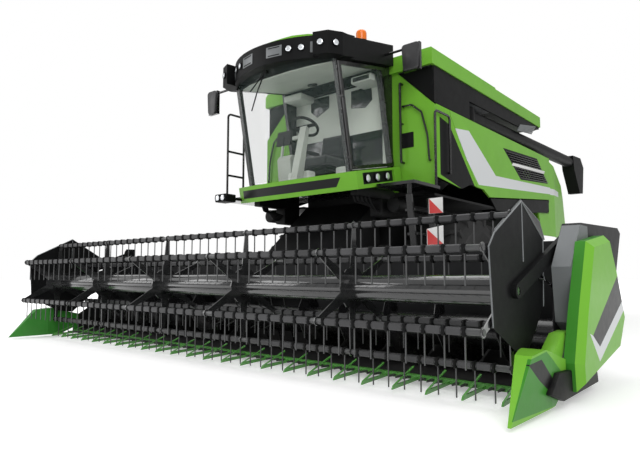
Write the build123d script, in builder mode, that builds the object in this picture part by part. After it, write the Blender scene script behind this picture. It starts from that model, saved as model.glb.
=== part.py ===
from build123d import *
import os
from math import atan2, cos, degrees, hypot, radians, sin

os.makedirs("parts", exist_ok=True)

# Millimetres. +X is the machine's left, the front faces -Y, +Z is up and the ground is Z = 0.

# Running clearances
GAP = 6            # between parts that move past each other
FIT = 0.3          # round a shaft in its bearing
SEAT = 0.3         # between a rod's eye and the lug beside it

# Front wheels and axle
FRONT_AXLE_Y = -1250
FRONT_TYRE_R = 925
FRONT_TYRE_W = 800
FRONT_TYRE_X = 1350
FRONT_RIM_R = 420
FRONT_RIM_W = 700

# Forms shared by all wheels
RIM_T = 22
BEAD_SEAT = 24            # height of the rim's flange and width of the bead's seat
DISC_OUT = 60             # from the wheel's centre to its disc, outwards
DISH = 70                 # depth of the disc's cone
HUB_R = 150
HUB_HALF = 90
LUG_H = 42
LUG_T = 62
LUG_SLANT = 0.62
LUG_LAP = 28
FRONT_LUGS = 18
REAR_LUGS = 15

# Rear wheels and steered axle
REAR_AXLE_Y = 2600
REAR_TYRE_R = 650
REAR_TYRE_W = 500
REAR_TYRE_X = 1350
REAR_RIM_R = 330
REAR_RIM_W = 420
KINGPIN_X = 985
KINGPIN_R = 30
KINGPIN_EYE_R = 70
KINGPIN_EYE_H = 200
SPINDLE_R = 45
BEAM = 160

# Chassis
RAIL_X = 530
RAIL_W = 100
RAIL_BOTTOM = 1040
RAIL_TOP = 1180
RAIL_FRONT = -1900
RAIL_REAR = 3400
CROSS_COUNT = 7
AXLE_TUBE_R = 100
DRIVE_BOX_R = 260

# Body
BODY_HALF = 1600
PANEL_T = 30
HOUSING_HALF = 780
HOUSING_TOP = 2340
HOUSING_WALL = 30
FRONT_WALL_Y = -2200
PANEL_FRONT = -2190
PANEL_REAR = 2480
FIXED_REAR = -1790        # top of the slanting joint between the fixed and the hinged side panel
FIXED_EDGE = 65           # height of the upright end of that joint, round the hinge
PANEL_TOP = 3260
PANEL_HINGE_DROP = 15
PANEL_PIN_R = 8
PANEL_PIN = 50
BAND_TOP = 4000
BAND_FRONT = -2280
BAND_REAR = 2030
COWL_INSET = 20
COWL_T = 30
COWL_BOTTOM = 3280
TANK_REAR = -130
TANK_WALL = 20
TANK_FLARE = BODY_HALF - 60
TANK_BODY = 1230
LID_T = 40
LID_HINGE_X = BODY_HALF - 30

# Unloading auger
UNLOAD_X = BODY_HALF - 180
UNLOAD_Y = -900
UNLOAD_Z = 3400
UNLOAD_R = 120
UNLOAD_SLOPE = 1.3
UNLOAD_LENGTH = 5350

# Cab, built in a frame that leans forward
CAB_LEAN = 11.3
CAB_HALF = 930
CAB_FRONT = -3250
CAB_SILL = 2270
CAB_BULGE = 290
CAB_DEPTH = 1035
CAB_HEIGHT = 1480
PILLAR = 60
GLASS_T = 8
DOOR_HEIGHT = 1385
CAB_FLOOR = 2160

# Feederhouse and its pivot
FEED_PIVOT_Y = -2150
FEED_PIVOT_Z = 1750
FEED_HALF = 650
FEED_WALL = 40
FEED_PIN_R = 50

# Header lift cylinders
LIFT_X = 730
LIFT_LUG = 36            # from the cylinder's line to the lug's face
LIFT_BARREL_R = 40
LIFT_ROD_R = 26
LIFT_PIN_R = 15
LIFT_BARREL = 1250
LIFT_ROD_START = 420
LIFT_EYE_Y, LIFT_EYE_Z = -2950, 640
LIFT_BASE_Y, LIFT_BASE_Z = FRONT_AXLE_Y - 160, 760

# Header
HEAD_HALF = 3622          # inner face of the end walls
HEAD_WALL = 12
HEAD_BACK = -3460         # rear face of the back wall
HEAD_BACK_T = 40
KNIFE_Y = -4450
TRAY_Z = 60
TRAY_T = 30
HEAD_TOP = 1150
DRUM_Y = -3900
DRUM_Z = 430
DRUM_R = 150
FLIGHT_R = 325

# Crop lifters
LIFTER_PITCH = 304.8
LIFTER_COUNT = 24
LIFTER_TIP_Y = -4900
KNIFE_DEPTH = 50
GUARD_L = 110
GUARD_W = 34
GUARD_T = 18
GUARD_Z = 56

# Reel
REEL_Y = -4810
REEL_Z = 836
REEL_R = 557
REEL_TUBE_R = 113
REEL_PHASE = -2.2
REEL_BARS = 6
SPIDER_COUNT = 6
SPIDER_T = 10
SPIDER_HUB = 190
SPIDER_ROOT = 120
SPIDER_TIP = 44
BAR_R = 22
BAR_HALF = HEAD_HALF - 56
SPIDER_PITCH = (2 * BAR_HALF - 19) / (SPIDER_COUNT - 1)
TINE_PITCH = 152.4
TINE_COUNT = 46
TINE_LENGTH = 255
TINE_W = 10
ARM_PIVOT_Y = -3560
ARM_PIVOT_Z = 1290
ARM_IN = HEAD_HALF - 46
ARM_OUT = HEAD_HALF - 6
ARM_DEPTH = 110


def block(x, y, z, mode=Mode.ADD):
    """A box between the pairs of X, Y and Z values."""
    with BuildSketch(Plane.XY.offset(z[0])) as profile:
        with Locations(((x[0] + x[1]) / 2, (y[0] + y[1]) / 2)):
            Rectangle(x[1] - x[0], y[1] - y[0])
    extrude(profile.sketch, amount=z[1] - z[0], mode=mode)


def prism_x(points, x0, x1, mode=Mode.ADD):
    """A side outline of (Y, Z) points, from X = x0 to X = x1."""
    with BuildSketch(Plane.YZ.offset(x0)) as profile:
        with BuildLine():
            Polyline(*points, close=True)
        make_face()
    extrude(profile.sketch, amount=x1 - x0, mode=mode)


def prism_y(points, y0, y1, mode=Mode.ADD):
    """A front outline of (X, Z) points, from Y = y0 to Y = y1."""
    with BuildSketch(Plane.XZ.offset(-y1)) as profile:
        with BuildLine():
            Polyline(*points, close=True)
        make_face()
    extrude(profile.sketch, amount=y1 - y0, mode=mode)


def prism_z(points, z0, z1, mode=Mode.ADD):
    """A plan outline of (X, Y) points, from Z = z0 to Z = z1."""
    with BuildSketch(Plane.XY.offset(z0)) as profile:
        with BuildLine():
            Polyline(*points, close=True)
        make_face()
    extrude(profile.sketch, amount=z1 - z0, mode=mode)


def rod(start, end, radius, mode=Mode.ADD):
    """A round bar between two points."""
    run = Vector(*end) - Vector(*start)
    with BuildSketch(Plane(origin=start, z_dir=run.normalized())) as profile:
        Circle(radius)
    extrude(profile.sketch, amount=run.length, mode=mode)


def bent_tube(points, radius, bend):
    """A round rail along straight runs with bent corners."""
    with BuildLine() as path:
        FilletPolyline(*points, radius=bend)
    with BuildSketch(Plane(origin=path.line @ 0, z_dir=path.line % 0)) as profile:
        Circle(radius)
    sweep(profile.sketch, path=path.line)


def spun(points, centre_y, centre_z, mode=Mode.ADD):
    """A wheel form: (X, radius) points spun about the X axis through (centre_y, centre_z)."""
    with BuildSketch(Plane(origin=(0, centre_y, centre_z), x_dir=(1, 0, 0), z_dir=(0, -1, 0))) as profile:
        with BuildLine():
            Polyline(*points, close=True)
        make_face()
    revolve(profile.sketch, axis=Axis((0, centre_y, centre_z), (1, 0, 0)), mode=mode)


def save(piece, name):
    """Label a finished piece and write its STEP file."""
    piece.part.label = name
    export_step(piece.part, f"parts/{name}.step")


# Wheels: tyres with two rows of slanting lugs on dished rims. Each row: name, axle Y, tyre radius, tyre
# width, rim radius, rim width, wheel centre X, lugs in a row, side (+1 left)
WHEELS = [
    ("front_left", FRONT_AXLE_Y, FRONT_TYRE_R, FRONT_TYRE_W, FRONT_RIM_R, FRONT_RIM_W, FRONT_TYRE_X, FRONT_LUGS, 1),
    ("front_right", FRONT_AXLE_Y, FRONT_TYRE_R, FRONT_TYRE_W, FRONT_RIM_R, FRONT_RIM_W, FRONT_TYRE_X, FRONT_LUGS, -1),
    ("rear_left", REAR_AXLE_Y, REAR_TYRE_R, REAR_TYRE_W, REAR_RIM_R, REAR_RIM_W, REAR_TYRE_X, REAR_LUGS, 1),
    ("rear_right", REAR_AXLE_Y, REAR_TYRE_R, REAR_TYRE_W, REAR_RIM_R, REAR_RIM_W, REAR_TYRE_X, REAR_LUGS, -1),
]

for name, axle_y, tyre_r, tyre_w, rim_r, rim_w, wheel_x, lugs, side in WHEELS:
    x = side * wheel_x
    half = tyre_w / 2
    axle = Axis((0, axle_y, tyre_r), (1, 0, 0))
    tread = tyre_r - LUG_H
    bead = rim_w / 2 - BEAD_SEAT
    with BuildPart() as lug:
        sections = []
        for out, top, root in ((-LUG_LAP, tyre_r, tread - 12), (0.7 * half, tyre_r - 8, tread - 20),
                               (half, tyre_r - 50, tread - 130)):
            turn = LUG_SLANT * max(out, 0) / tyre_r
            middle = (top + root) / 2
            with BuildSketch(Plane(origin=(x + out, axle_y + middle * sin(turn), tyre_r + middle * cos(turn)),
                                   x_dir=(0, cos(turn), -sin(turn)), z_dir=(1, 0, 0))) as section:
                Rectangle(LUG_T, top - root)
            sections.append(section.sketch)
        loft(sections, ruled=True)
    left_row = lug.part
    right_row = lug.part.mirror(Plane(origin=(x, 0, 0), z_dir=(1, 0, 0)))
    pitch = 360 / lugs
    with BuildPart() as tyre:
        spun([(x - bead, rim_r), (x - bead, rim_r + BEAD_SEAT), (x - half, rim_r + 0.5 * (tread - rim_r)),
              (x - half + 15, tread - 90), (x - half + 90, tread), (x + half - 90, tread),
              (x + half - 15, tread - 90), (x + half, rim_r + 0.5 * (tread - rim_r)), (x + bead, rim_r + BEAD_SEAT),
              (x + bead, rim_r)], axle_y, tyre_r)
        add([left_row.rotate(axle, pitch * i) for i in range(lugs)])
        add([right_row.rotate(axle, pitch * (i + 0.5)) for i in range(lugs)])
    save(tyre, f"tyre_{name}")
    disc_x = x + side * DISC_OUT
    with BuildPart() as rim:
        spun([(x - rim_w / 2, rim_r + BEAD_SEAT), (x - rim_w / 2, rim_r - RIM_T), (x + rim_w / 2, rim_r - RIM_T),
              (x + rim_w / 2, rim_r + BEAD_SEAT), (x + bead, rim_r + BEAD_SEAT), (x + bead, rim_r),
              (x - bead, rim_r), (x - bead, rim_r + BEAD_SEAT)], axle_y, tyre_r)
        spun([(disc_x - RIM_T / 2, SPINDLE_R + FIT), (disc_x - RIM_T / 2, HUB_R + 30),
              (disc_x + side * DISH - RIM_T / 2, rim_r - RIM_T / 2), (disc_x + side * DISH + RIM_T / 2, rim_r - RIM_T / 2),
              (disc_x + RIM_T / 2, HUB_R + 30), (disc_x + RIM_T / 2, SPINDLE_R + FIT)], axle_y, tyre_r)
        spun([(disc_x - HUB_HALF, SPINDLE_R + FIT), (disc_x - HUB_HALF, HUB_R),
              (disc_x + HUB_HALF, HUB_R), (disc_x + HUB_HALF, SPINDLE_R + FIT)], axle_y, tyre_r)
    save(rim, f"rim_{name}")

# Front axle: final drives at both ends of a tube, with spindles for the wheels
drive_in = FRONT_TYRE_X - FRONT_TYRE_W / 2 - 170
drive_out = FRONT_TYRE_X - FRONT_TYRE_W / 2 - 20
spindle_end = FRONT_TYRE_X + 60 + HUB_HALF - 10
with BuildPart() as front_axle:
    rod((-drive_out, FRONT_AXLE_Y, FRONT_TYRE_R), (drive_out, FRONT_AXLE_Y, FRONT_TYRE_R), AXLE_TUBE_R)
    for s in (-1, 1):
        rod((s * drive_in, FRONT_AXLE_Y, FRONT_TYRE_R), (s * drive_out, FRONT_AXLE_Y, FRONT_TYRE_R), DRIVE_BOX_R)
        rod((s * drive_out, FRONT_AXLE_Y, FRONT_TYRE_R), (s * spindle_end, FRONT_AXLE_Y, FRONT_TYRE_R), SPINDLE_R)
        block(sorted((s * (RAIL_X - RAIL_W / 2), s * (RAIL_X + RAIL_W / 2))),
              (FRONT_AXLE_Y - 120, FRONT_AXLE_Y + 120), (FRONT_TYRE_R, RAIL_BOTTOM))
        block(sorted((s * (LIFT_X - 60), s * (LIFT_X - LIFT_BARREL_R - 1))), (LIFT_BASE_Y - 50, FRONT_AXLE_Y),
              (LIFT_BASE_Z - 50, FRONT_TYRE_R))
        rod((s * (LIFT_X - 50), LIFT_BASE_Y, LIFT_BASE_Z), (s * (LIFT_X + LIFT_BARREL_R), LIFT_BASE_Y, LIFT_BASE_Z),
            LIFT_PIN_R)
save(front_axle, "front_axle")

# Rear axle: a box beam with an upright eye at each end for the kingpins
beam_bottom = REAR_TYRE_R - BEAM / 2
beam_top = REAR_TYRE_R + BEAM / 2
with BuildPart() as rear_axle:
    block((-KINGPIN_X, KINGPIN_X), (REAR_AXLE_Y - BEAM / 2, REAR_AXLE_Y + BEAM / 2), (beam_bottom, beam_top))
    for s in (-1, 1):
        rod((s * KINGPIN_X, REAR_AXLE_Y, REAR_TYRE_R - KINGPIN_EYE_H / 2),
            (s * KINGPIN_X, REAR_AXLE_Y, REAR_TYRE_R + KINGPIN_EYE_H / 2), KINGPIN_EYE_R + 20)
        rod((s * KINGPIN_X, REAR_AXLE_Y, REAR_TYRE_R - KINGPIN_EYE_H / 2),
            (s * KINGPIN_X, REAR_AXLE_Y, REAR_TYRE_R + KINGPIN_EYE_H / 2), KINGPIN_R + FIT, Mode.SUBTRACT)
    rod((-420, REAR_AXLE_Y + BEAM / 2 + 30, REAR_TYRE_R), (420, REAR_AXLE_Y + BEAM / 2 + 30, REAR_TYRE_R), 40)
save(rear_axle, "rear_axle")

# Steering knuckles: arms above and below the eye, joined outside it, with the wheel's spindle
arm_t = 30
post_in = KINGPIN_X + KINGPIN_EYE_R + 20 + GAP
for side_name, s in (("left", 1), ("right", -1)):
    with BuildPart() as knuckle:
        for z0 in (REAR_TYRE_R - KINGPIN_EYE_H / 2 - GAP - arm_t, REAR_TYRE_R + KINGPIN_EYE_H / 2 + GAP):
            block(sorted((s * (KINGPIN_X - 50), s * (post_in + 40))),
                  (REAR_AXLE_Y - 60, REAR_AXLE_Y + 60), (z0, z0 + arm_t))
        block(sorted((s * post_in, s * (post_in + 40))), (REAR_AXLE_Y - 60, REAR_AXLE_Y + 60),
              (REAR_TYRE_R - KINGPIN_EYE_H / 2 - GAP - arm_t, REAR_TYRE_R + KINGPIN_EYE_H / 2 + GAP + arm_t))
        rod((s * KINGPIN_X, REAR_AXLE_Y, REAR_TYRE_R - KINGPIN_EYE_H / 2 - GAP - arm_t),
            (s * KINGPIN_X, REAR_AXLE_Y, REAR_TYRE_R + KINGPIN_EYE_H / 2 + GAP + arm_t), KINGPIN_R)
        rod((s * (post_in + 20), REAR_AXLE_Y, REAR_TYRE_R),
            (s * (REAR_TYRE_X + 60 + HUB_HALF - 10), REAR_AXLE_Y, REAR_TYRE_R), SPINDLE_R)
    save(knuckle, f"steering_knuckle_{side_name}")

# Chassis: two rails with cross members, hangers down to the rear axle and a drawbar jaw
HITCH_Y = 3560
HITCH_R = 16.5
HITCH_JAW = 80
HITCH_PLATE = 25
hitch_z = RAIL_BOTTOM + 70
with BuildPart() as chassis_frame:
    for s in (-1, 1):
        block(sorted((s * (RAIL_X - RAIL_W / 2), s * (RAIL_X + RAIL_W / 2))), (RAIL_FRONT, RAIL_REAR),
              (RAIL_BOTTOM, RAIL_TOP))
        block(sorted((s * (RAIL_X - RAIL_W / 2), s * (RAIL_X + RAIL_W / 2))),
              (REAR_AXLE_Y - 100, REAR_AXLE_Y + 100), (beam_top, RAIL_BOTTOM))
    for i in range(CROSS_COUNT):
        y = RAIL_FRONT + 60 + i * (RAIL_REAR - RAIL_FRONT - 120) / (CROSS_COUNT - 1)
        block((-RAIL_X, RAIL_X), (y - 50, y + 50), (RAIL_BOTTOM + 20, RAIL_TOP))
    for z0 in (hitch_z - HITCH_JAW / 2 - HITCH_PLATE, hitch_z + HITCH_JAW / 2):
        block((-70, 70), (RAIL_REAR - 60, HITCH_Y + 60), (z0, z0 + HITCH_PLATE))
    block((-150, 150), (RAIL_REAR - 60, RAIL_REAR), (RAIL_BOTTOM - 20, RAIL_TOP))
    rod((0, HITCH_Y, hitch_z - HITCH_JAW), (0, HITCH_Y, hitch_z + HITCH_JAW), HITCH_R, Mode.SUBTRACT)
save(chassis_frame, "chassis_frame")

# Threshing body: a long hollow box, open to the feederhouse in front and to the tail behind
HOUSING = [(-2100, HOUSING_TOP), (-2100, 1380), (-1650, RAIL_TOP), (1500, RAIL_TOP), (2350, 1420),
           (3600, 1500), (3600, HOUSING_TOP)]
w = HOUSING_WALL
HOUSING_VOID = [(-2100 + w, HOUSING_TOP - w), (-2100 + w, 1400), (-1640, RAIL_TOP + w), (1490, RAIL_TOP + w),
                (2345, 1420 + w), (3600 + w, 1500 + w), (3600 + w, HOUSING_TOP - w)]
with BuildPart() as threshing_housing:
    prism_x(HOUSING, -HOUSING_HALF, HOUSING_HALF)
    prism_x(HOUSING_VOID, -HOUSING_HALF + w, HOUSING_HALF - w, Mode.SUBTRACT)
    block((-550, 550), (-2100 - w, -2100 + 2 * w), (1450, 1850), Mode.SUBTRACT)
    for s in (-1, 1):
        block(sorted((s * (FEED_HALF + 20), s * (FEED_HALF + 60))), (FEED_PIVOT_Y - 80, -2100),
              (FEED_PIVOT_Z - 80, FEED_PIVOT_Z + 80))
        rod((s * FEED_HALF, FEED_PIVOT_Y, FEED_PIVOT_Z), (s * HOUSING_HALF, FEED_PIVOT_Y, FEED_PIVOT_Z),
            FEED_PIN_R + FIT, Mode.SUBTRACT)
save(threshing_housing, "threshing_housing")

# Engine: one plain block on the body behind the grain tank
with BuildPart() as engine_block:
    block((-450, 450), (350, 1550), (HOUSING_TOP, HOUSING_TOP + 840))
save(engine_block, "engine_block")

# Front wall of the body, on both sides of the cab
with BuildPart() as front_wall:
    prism_y([(-BODY_HALF, 2100), (-900, 2100), (-900, HOUSING_TOP), (900, HOUSING_TOP), (900, 2100),
             (BODY_HALF, 2100), (BODY_HALF, 3240), (970, 3850), (-970, 3850), (-BODY_HALF, 3240)],
            FRONT_WALL_Y - PANEL_T, FRONT_WALL_Y)
save(front_wall, "front_wall")

# Side frames: bulkheads and a top rail on each side that carry the panels, the fixed panel in front of them
# with a slanting rear edge, the skirts behind the front wheels, the deck over the engine and the turret
HINGE_X = BODY_HALF - PANEL_T / 2
HINGE_Z = PANEL_TOP - PANEL_HINGE_DROP
FIXED_PANEL = [(PANEL_FRONT, PANEL_TOP), (PANEL_FRONT, 2260), (-1460, 2180), (-1160, 2280), (-950, 2270),
               (FIXED_REAR, PANEL_TOP - FIXED_EDGE), (FIXED_REAR, PANEL_TOP)]
SKIRT = [(-400, 2155), (2470, 2420), (2360, 2160), (-170, 1985)]
SKIRT_T = 20
with BuildPart() as side_frame:
    for s in (-1, 1):
        inner, outer = HOUSING_HALF, BODY_HALF - PANEL_T - 2 * GAP
        for y, bottom in ((-200, 2010), (1100, 2130), (PANEL_REAR + 20 - PANEL_T, 2190)):
            prism_y([(s * inner, bottom), (s * outer, bottom), (s * outer, PANEL_TOP - 40),
                     (s * (TANK_BODY + 2), PANEL_TOP - 40), (s * (TANK_BODY + 2), 2880), (s * inner, 2530)],
                    y, y + PANEL_T)
        block(sorted((s * (TANK_BODY + 2), s * outer)), (FRONT_WALL_Y, PANEL_REAR + 20), (PANEL_TOP - 70, PANEL_TOP - 40))
        block(sorted((s * inner, s * outer)), (FRONT_WALL_Y, -200), (2010, 2040))
        prism_x(SKIRT, *sorted((s * outer, s * (outer + SKIRT_T))))
        prism_x(FIXED_PANEL, *sorted((s * (outer - 5), s * BODY_HALF)))
        rod((s * HINGE_X, FIXED_REAR - 40, HINGE_Z), (s * HINGE_X, FIXED_REAR + PANEL_PIN, HINGE_Z), PANEL_PIN_R)
        block(sorted((s * (outer - 20), s * BODY_HALF)), (PANEL_REAR + GAP, PANEL_REAR + 20), (HINGE_Z - 20, HINGE_Z + 15))
        rod((s * HINGE_X, PANEL_REAR - PANEL_PIN + 5, HINGE_Z), (s * HINGE_X, PANEL_REAR + GAP + 5, HINGE_Z), PANEL_PIN_R)
    block((-outer, outer), (TANK_REAR, PANEL_REAR + 20), (PANEL_TOP - 70, PANEL_TOP - 30))
    rod((UNLOAD_X, UNLOAD_Y, PANEL_TOP - 70), (UNLOAD_X, UNLOAD_Y, PANEL_TOP + 20 - SEAT), UNLOAD_R + 15)
save(side_frame, "side_frame")

# Side panels, hinged along their top edges, each with an opening for its grille
PANEL_GAP = 12            # from the fixed panel, measured along the machine
PANEL = [(FIXED_REAR + PANEL_GAP, PANEL_TOP), (FIXED_REAR + PANEL_GAP, PANEL_TOP - FIXED_EDGE),
         (-950 + PANEL_GAP, 2270), (-700, 2260),
         (-480, 2165), (PANEL_REAR - 30, 2430), (PANEL_REAR, 2480), (PANEL_REAR, PANEL_TOP)]
GRILLE = [(110, 3060), (1770, 3145), (2350, 2736), (890, 2625)]
GRILLE_SLATS = 11
for side_name, s in (("left", 1), ("right", -1)):
    a, b = sorted((s * (BODY_HALF - PANEL_T), s * BODY_HALF))
    with BuildPart() as side_panel:
        prism_x(PANEL, a, b)
        prism_x(GRILLE, a, b, Mode.SUBTRACT)
        for y0, y1 in ((FIXED_REAR, FIXED_REAR + 2 * PANEL_PIN), (PANEL_REAR - PANEL_PIN, PANEL_REAR + 1)):
            rod((s * HINGE_X, y0, HINGE_Z), (s * HINGE_X, y1, HINGE_Z), PANEL_PIN_R + FIT, Mode.SUBTRACT)
    save(side_panel, f"side_panel_{side_name}")
    with BuildPart() as side_grille:
        prism_x(GRILLE, a, b)
        mid_y = sum(p[0] for p in GRILLE) / 4
        mid_z = sum(p[1] for p in GRILLE) / 4
        inner_pts = [(mid_y + (y - mid_y) * 0.92, mid_z + (z - mid_z) * 0.8) for y, z in GRILLE]
        prism_x(inner_pts, a, b, Mode.SUBTRACT)
        for i in range(GRILLE_SLATS):
            f0 = (i + 0.5) / GRILLE_SLATS
            top = (GRILLE[0][0] + f0 * (GRILLE[1][0] - GRILLE[0][0]), GRILLE[0][1] + f0 * (GRILLE[1][1] - GRILLE[0][1]))
            low = (GRILLE[3][0] + f0 * (GRILLE[2][0] - GRILLE[3][0]), GRILLE[3][1] + f0 * (GRILLE[2][1] - GRILLE[3][1]))
            prism_x([(top[0] - 15, top[1] - 15), (top[0] + 25, top[1] - 15), (low[0] + 25, low[1] + 15),
                     (low[0] - 15, low[1] + 15)], a + 5, b - 5)
    save(side_grille, f"side_grille_{side_name}")

# Upper cowling: the black band round the tank and the engine, raised on the left over the auger,
# with the slatted engine deck
cowl_out = BODY_HALF - COWL_INSET
UNLOAD_BAY = [(-1100, 3200), (-1100, 3560), (1480, 3600), (BAND_REAR - 30, 3770), (BAND_REAR + 50, 3770),
              (BAND_REAR + 50, 3200)]
with BuildPart() as upper_cowling:
    block((-cowl_out, cowl_out), (FRONT_WALL_Y, BAND_REAR - 30), (COWL_BOTTOM, 3800))
    block((-cowl_out + COWL_T, cowl_out - COWL_T), (FRONT_WALL_Y + COWL_T, BAND_REAR - 30 - COWL_T),
          (COWL_BOTTOM, 3800), Mode.SUBTRACT)
    prism_x(UNLOAD_BAY, UNLOAD_X - UNLOAD_R - 60, cowl_out + 10, Mode.SUBTRACT)
    prism_x([(1480, 3200), (1480, 3570), (BAND_REAR - 30, 3770), (BAND_REAR + 50, 3770), (BAND_REAR + 50, 3200)],
            -cowl_out - 10, cowl_out + 10, Mode.SUBTRACT)
    block((-cowl_out, cowl_out), (TANK_REAR, BAND_REAR - 30), (3760, 3800))
    for i in range(8):
        y = TANK_REAR + 420 + i * 190
        block((-1100, 1100), (y, y + 90), (3700, 3850), Mode.SUBTRACT)
save(upper_cowling, "upper_cowling")

# Green band round the top
with BuildPart() as upper_band:
    block((-BODY_HALF, BODY_HALF), (BAND_FRONT, BAND_REAR), (3800, BAND_TOP))
    block((-BODY_HALF + 50, BODY_HALF - 50), (BAND_FRONT + 50, BAND_REAR - 50), (3800, BAND_TOP), Mode.SUBTRACT)
save(upper_band, "upper_band")

# Grain tank: an open hopper under the two lids
with BuildPart() as grain_tank:
    prism_y([(-500, HOUSING_TOP), (500, HOUSING_TOP), (TANK_BODY, 2900), (TANK_BODY, 3610), (TANK_FLARE, 3630),
             (TANK_FLARE, 3990), (-TANK_FLARE, 3990), (-TANK_FLARE, 3630), (-TANK_BODY, 3610), (-TANK_BODY, 2900)],
            FRONT_WALL_Y + COWL_T, TANK_REAR)
    t = TANK_WALL
    prism_y([(-490, HOUSING_TOP + t), (490, HOUSING_TOP + t), (TANK_BODY - t, 2912), (TANK_BODY - t, 3630),
             (TANK_FLARE - t, 3650), (TANK_FLARE - t, 4050), (-TANK_FLARE + t, 4050), (-TANK_FLARE + t, 3650),
             (-TANK_BODY + t, 3630), (-TANK_BODY + t, 2912)],
            FRONT_WALL_Y + COWL_T + t, TANK_REAR - t, Mode.SUBTRACT)
save(grain_tank, "grain_tank")

for side_name, s in (("left", 1), ("right", -1)):
    with BuildPart() as tank_lid:
        block(sorted((s * GAP / 2, s * LID_HINGE_X)), (BAND_FRONT + 20, TANK_REAR + 20), (BAND_TOP + SEAT, BAND_TOP + SEAT + LID_T))
        rod((s * LID_HINGE_X, BAND_FRONT + 20, BAND_TOP + SEAT + LID_T / 2), (s * LID_HINGE_X, TANK_REAR + 20,
            BAND_TOP + SEAT + LID_T / 2), LID_T / 2)
    save(tank_lid, f"tank_lid_{side_name}")

# Tail: the green hood over the straw outlet, narrowing to the rear and open below and in front
HOOD_FRONT = PANEL_REAR + 20
HOOD_WALL = 30
HOOD = [(HOOD_FRONT, 3250), (4150, 2950), (4450, 2700), (4780, 2120), (3300, 1720), (2080, 1715),
        (1900, 2140), (HOOD_FRONT, 2160)]
HOOD_VOID = [(HOOD_FRONT - 5, 3215), (4135, 2915), (4420, 2680), (4740, 2130), (4700, 1600), (1800, 1600),
             (1800, 2300), (HOOD_FRONT - 5, 2300)]
HOOD_HALF = BODY_HALF - PANEL_T - 2 * GAP - 8
HOOD_TAIL = 0.76 * HOOD_HALF
HOOD_PLAN = [(-HOOD_HALF, 1800), (HOOD_HALF, 1800), (HOOD_HALF, 2900), (HOOD_TAIL, 4900), (-HOOD_TAIL, 4900),
             (-HOOD_HALF, 2900)]
with BuildPart() as hood_void:
    prism_x(HOOD_VOID, -HOOD_HALF - 20, HOOD_HALF + 20)
    prism_z([(x * (1 - HOOD_WALL / HOOD_HALF), y) for x, y in HOOD_PLAN], 1500, 3400, Mode.INTERSECT)
with BuildPart() as rear_hood:
    prism_x(HOOD, -HOOD_HALF - 20, HOOD_HALF + 20)
    prism_z(HOOD_PLAN, 1600, 3400, Mode.INTERSECT)
    add(hood_void.part, mode=Mode.SUBTRACT)
save(rear_hood, "rear_hood")

# Straw chopper under the tail
with BuildPart() as straw_chopper:
    prism_x([(3600 + SEAT, 1300), (3600 + SEAT, 2050), (4300, 2050), (4900, 1450), (4850, 1250), (4000, 1150)], -700, 700)
save(straw_chopper, "straw_chopper")

# Unloading auger: elbow over its turret, the long tube and the spout
SPOUT = [(-100, 125), (500, 155), (730, -40), (590, -670), (350, -690), (-30, -190)]
SPOUT_HALF = UNLOAD_R + 10
slope = radians(UNLOAD_SLOPE)
tube_end = (UNLOAD_X, UNLOAD_Y + UNLOAD_LENGTH * cos(slope), UNLOAD_Z + UNLOAD_LENGTH * sin(slope))
with BuildPart() as unloading_auger:
    rod((UNLOAD_X, UNLOAD_Y, PANEL_TOP + 20), (UNLOAD_X, UNLOAD_Y, UNLOAD_Z + UNLOAD_R), UNLOAD_R + 15)
    rod((UNLOAD_X, UNLOAD_Y, UNLOAD_Z), tube_end, UNLOAD_R)
    prism_x([(tube_end[1] + y, tube_end[2] + z) for y, z in SPOUT], UNLOAD_X - SPOUT_HALF, UNLOAD_X + SPOUT_HALF)
    rod((UNLOAD_X, tube_end[1] + 650, tube_end[2] - 20), (UNLOAD_X, tube_end[1] + 950, tube_end[2] + 40), 14)
save(unloading_auger, "unloading_auger")

CAB_REAR = FRONT_WALL_Y - PANEL_T
CAB_RISE = sin(radians(CAB_LEAN)) / cos(radians(CAB_LEAN))
CAB_WALL_TOP = 3795
CAB_BACK = -2300          # rear end of the roof, in front of the band round the tank
VISOR_LOW = [(-4000, 3640), (-3450, 3660), (CAB_BACK, 3900)]
VISOR_TOP = [(-4000, 3920), (-3450, 3960), (CAB_BACK, 4200)]
VISOR_HALF = 1000
VISOR_NOSE = -3960

# Cab. Its sides lean: local x is X, local y runs rearward and up, local z up and forward.
CAB = Plane(origin=(0, CAB_FRONT, CAB_SILL), x_dir=(1, 0, 0), z_dir=(0, -sin(radians(CAB_LEAN)), cos(radians(CAB_LEAN))))


def along(line, y):
    """Height at y on the rear run of a (Y, Z) line."""
    (y0, z0), (y1, z1) = line[-2:]
    return z0 + (z1 - z0) * (y - y0) / (y1 - y0)


def cab_band(outer_half, depth_front, bulge, rear, z0, z1, mode=Mode.ADD):
    """A slab in the cab's leaning frame: straight sides and rear, and a bowed front."""
    with BuildSketch(CAB.offset(z0)) as profile:
        with BuildLine():
            Polyline((outer_half, -depth_front), (outer_half, rear), (-outer_half, rear), (-outer_half, -depth_front))
            ThreePointArc((-outer_half, -depth_front), (0, -depth_front - bulge), (outer_half, -depth_front))
        make_face()
    extrude(profile.sketch, amount=z1 - z0, mode=mode)


# Door and its two hinges, on a line at the door's outer front edge
DOOR_IN = CAB_HALF + SEAT
DOOR_T = 30
DOOR_FRAME = 45
DOOR_MARGIN = 10
DOOR_HINGE_R = 16
DOOR_PIN_R = 7
DOOR_HINGE_H = 70
DOOR_LUG_H = 24
DOOR_HINGES = (180, 950)
hinge_spot = (DOOR_IN + DOOR_T, DOOR_MARGIN)


def door_hinge_round(z0, z1, radius, mode=Mode.ADD):
    """An upright round on the door's hinge line, between two heights in the cab's frame."""
    with BuildSketch(CAB.offset(z0)) as profile:
        with Locations(hinge_spot):
            Circle(radius)
    extrude(profile.sketch, amount=z1 - z0, mode=mode)


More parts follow.
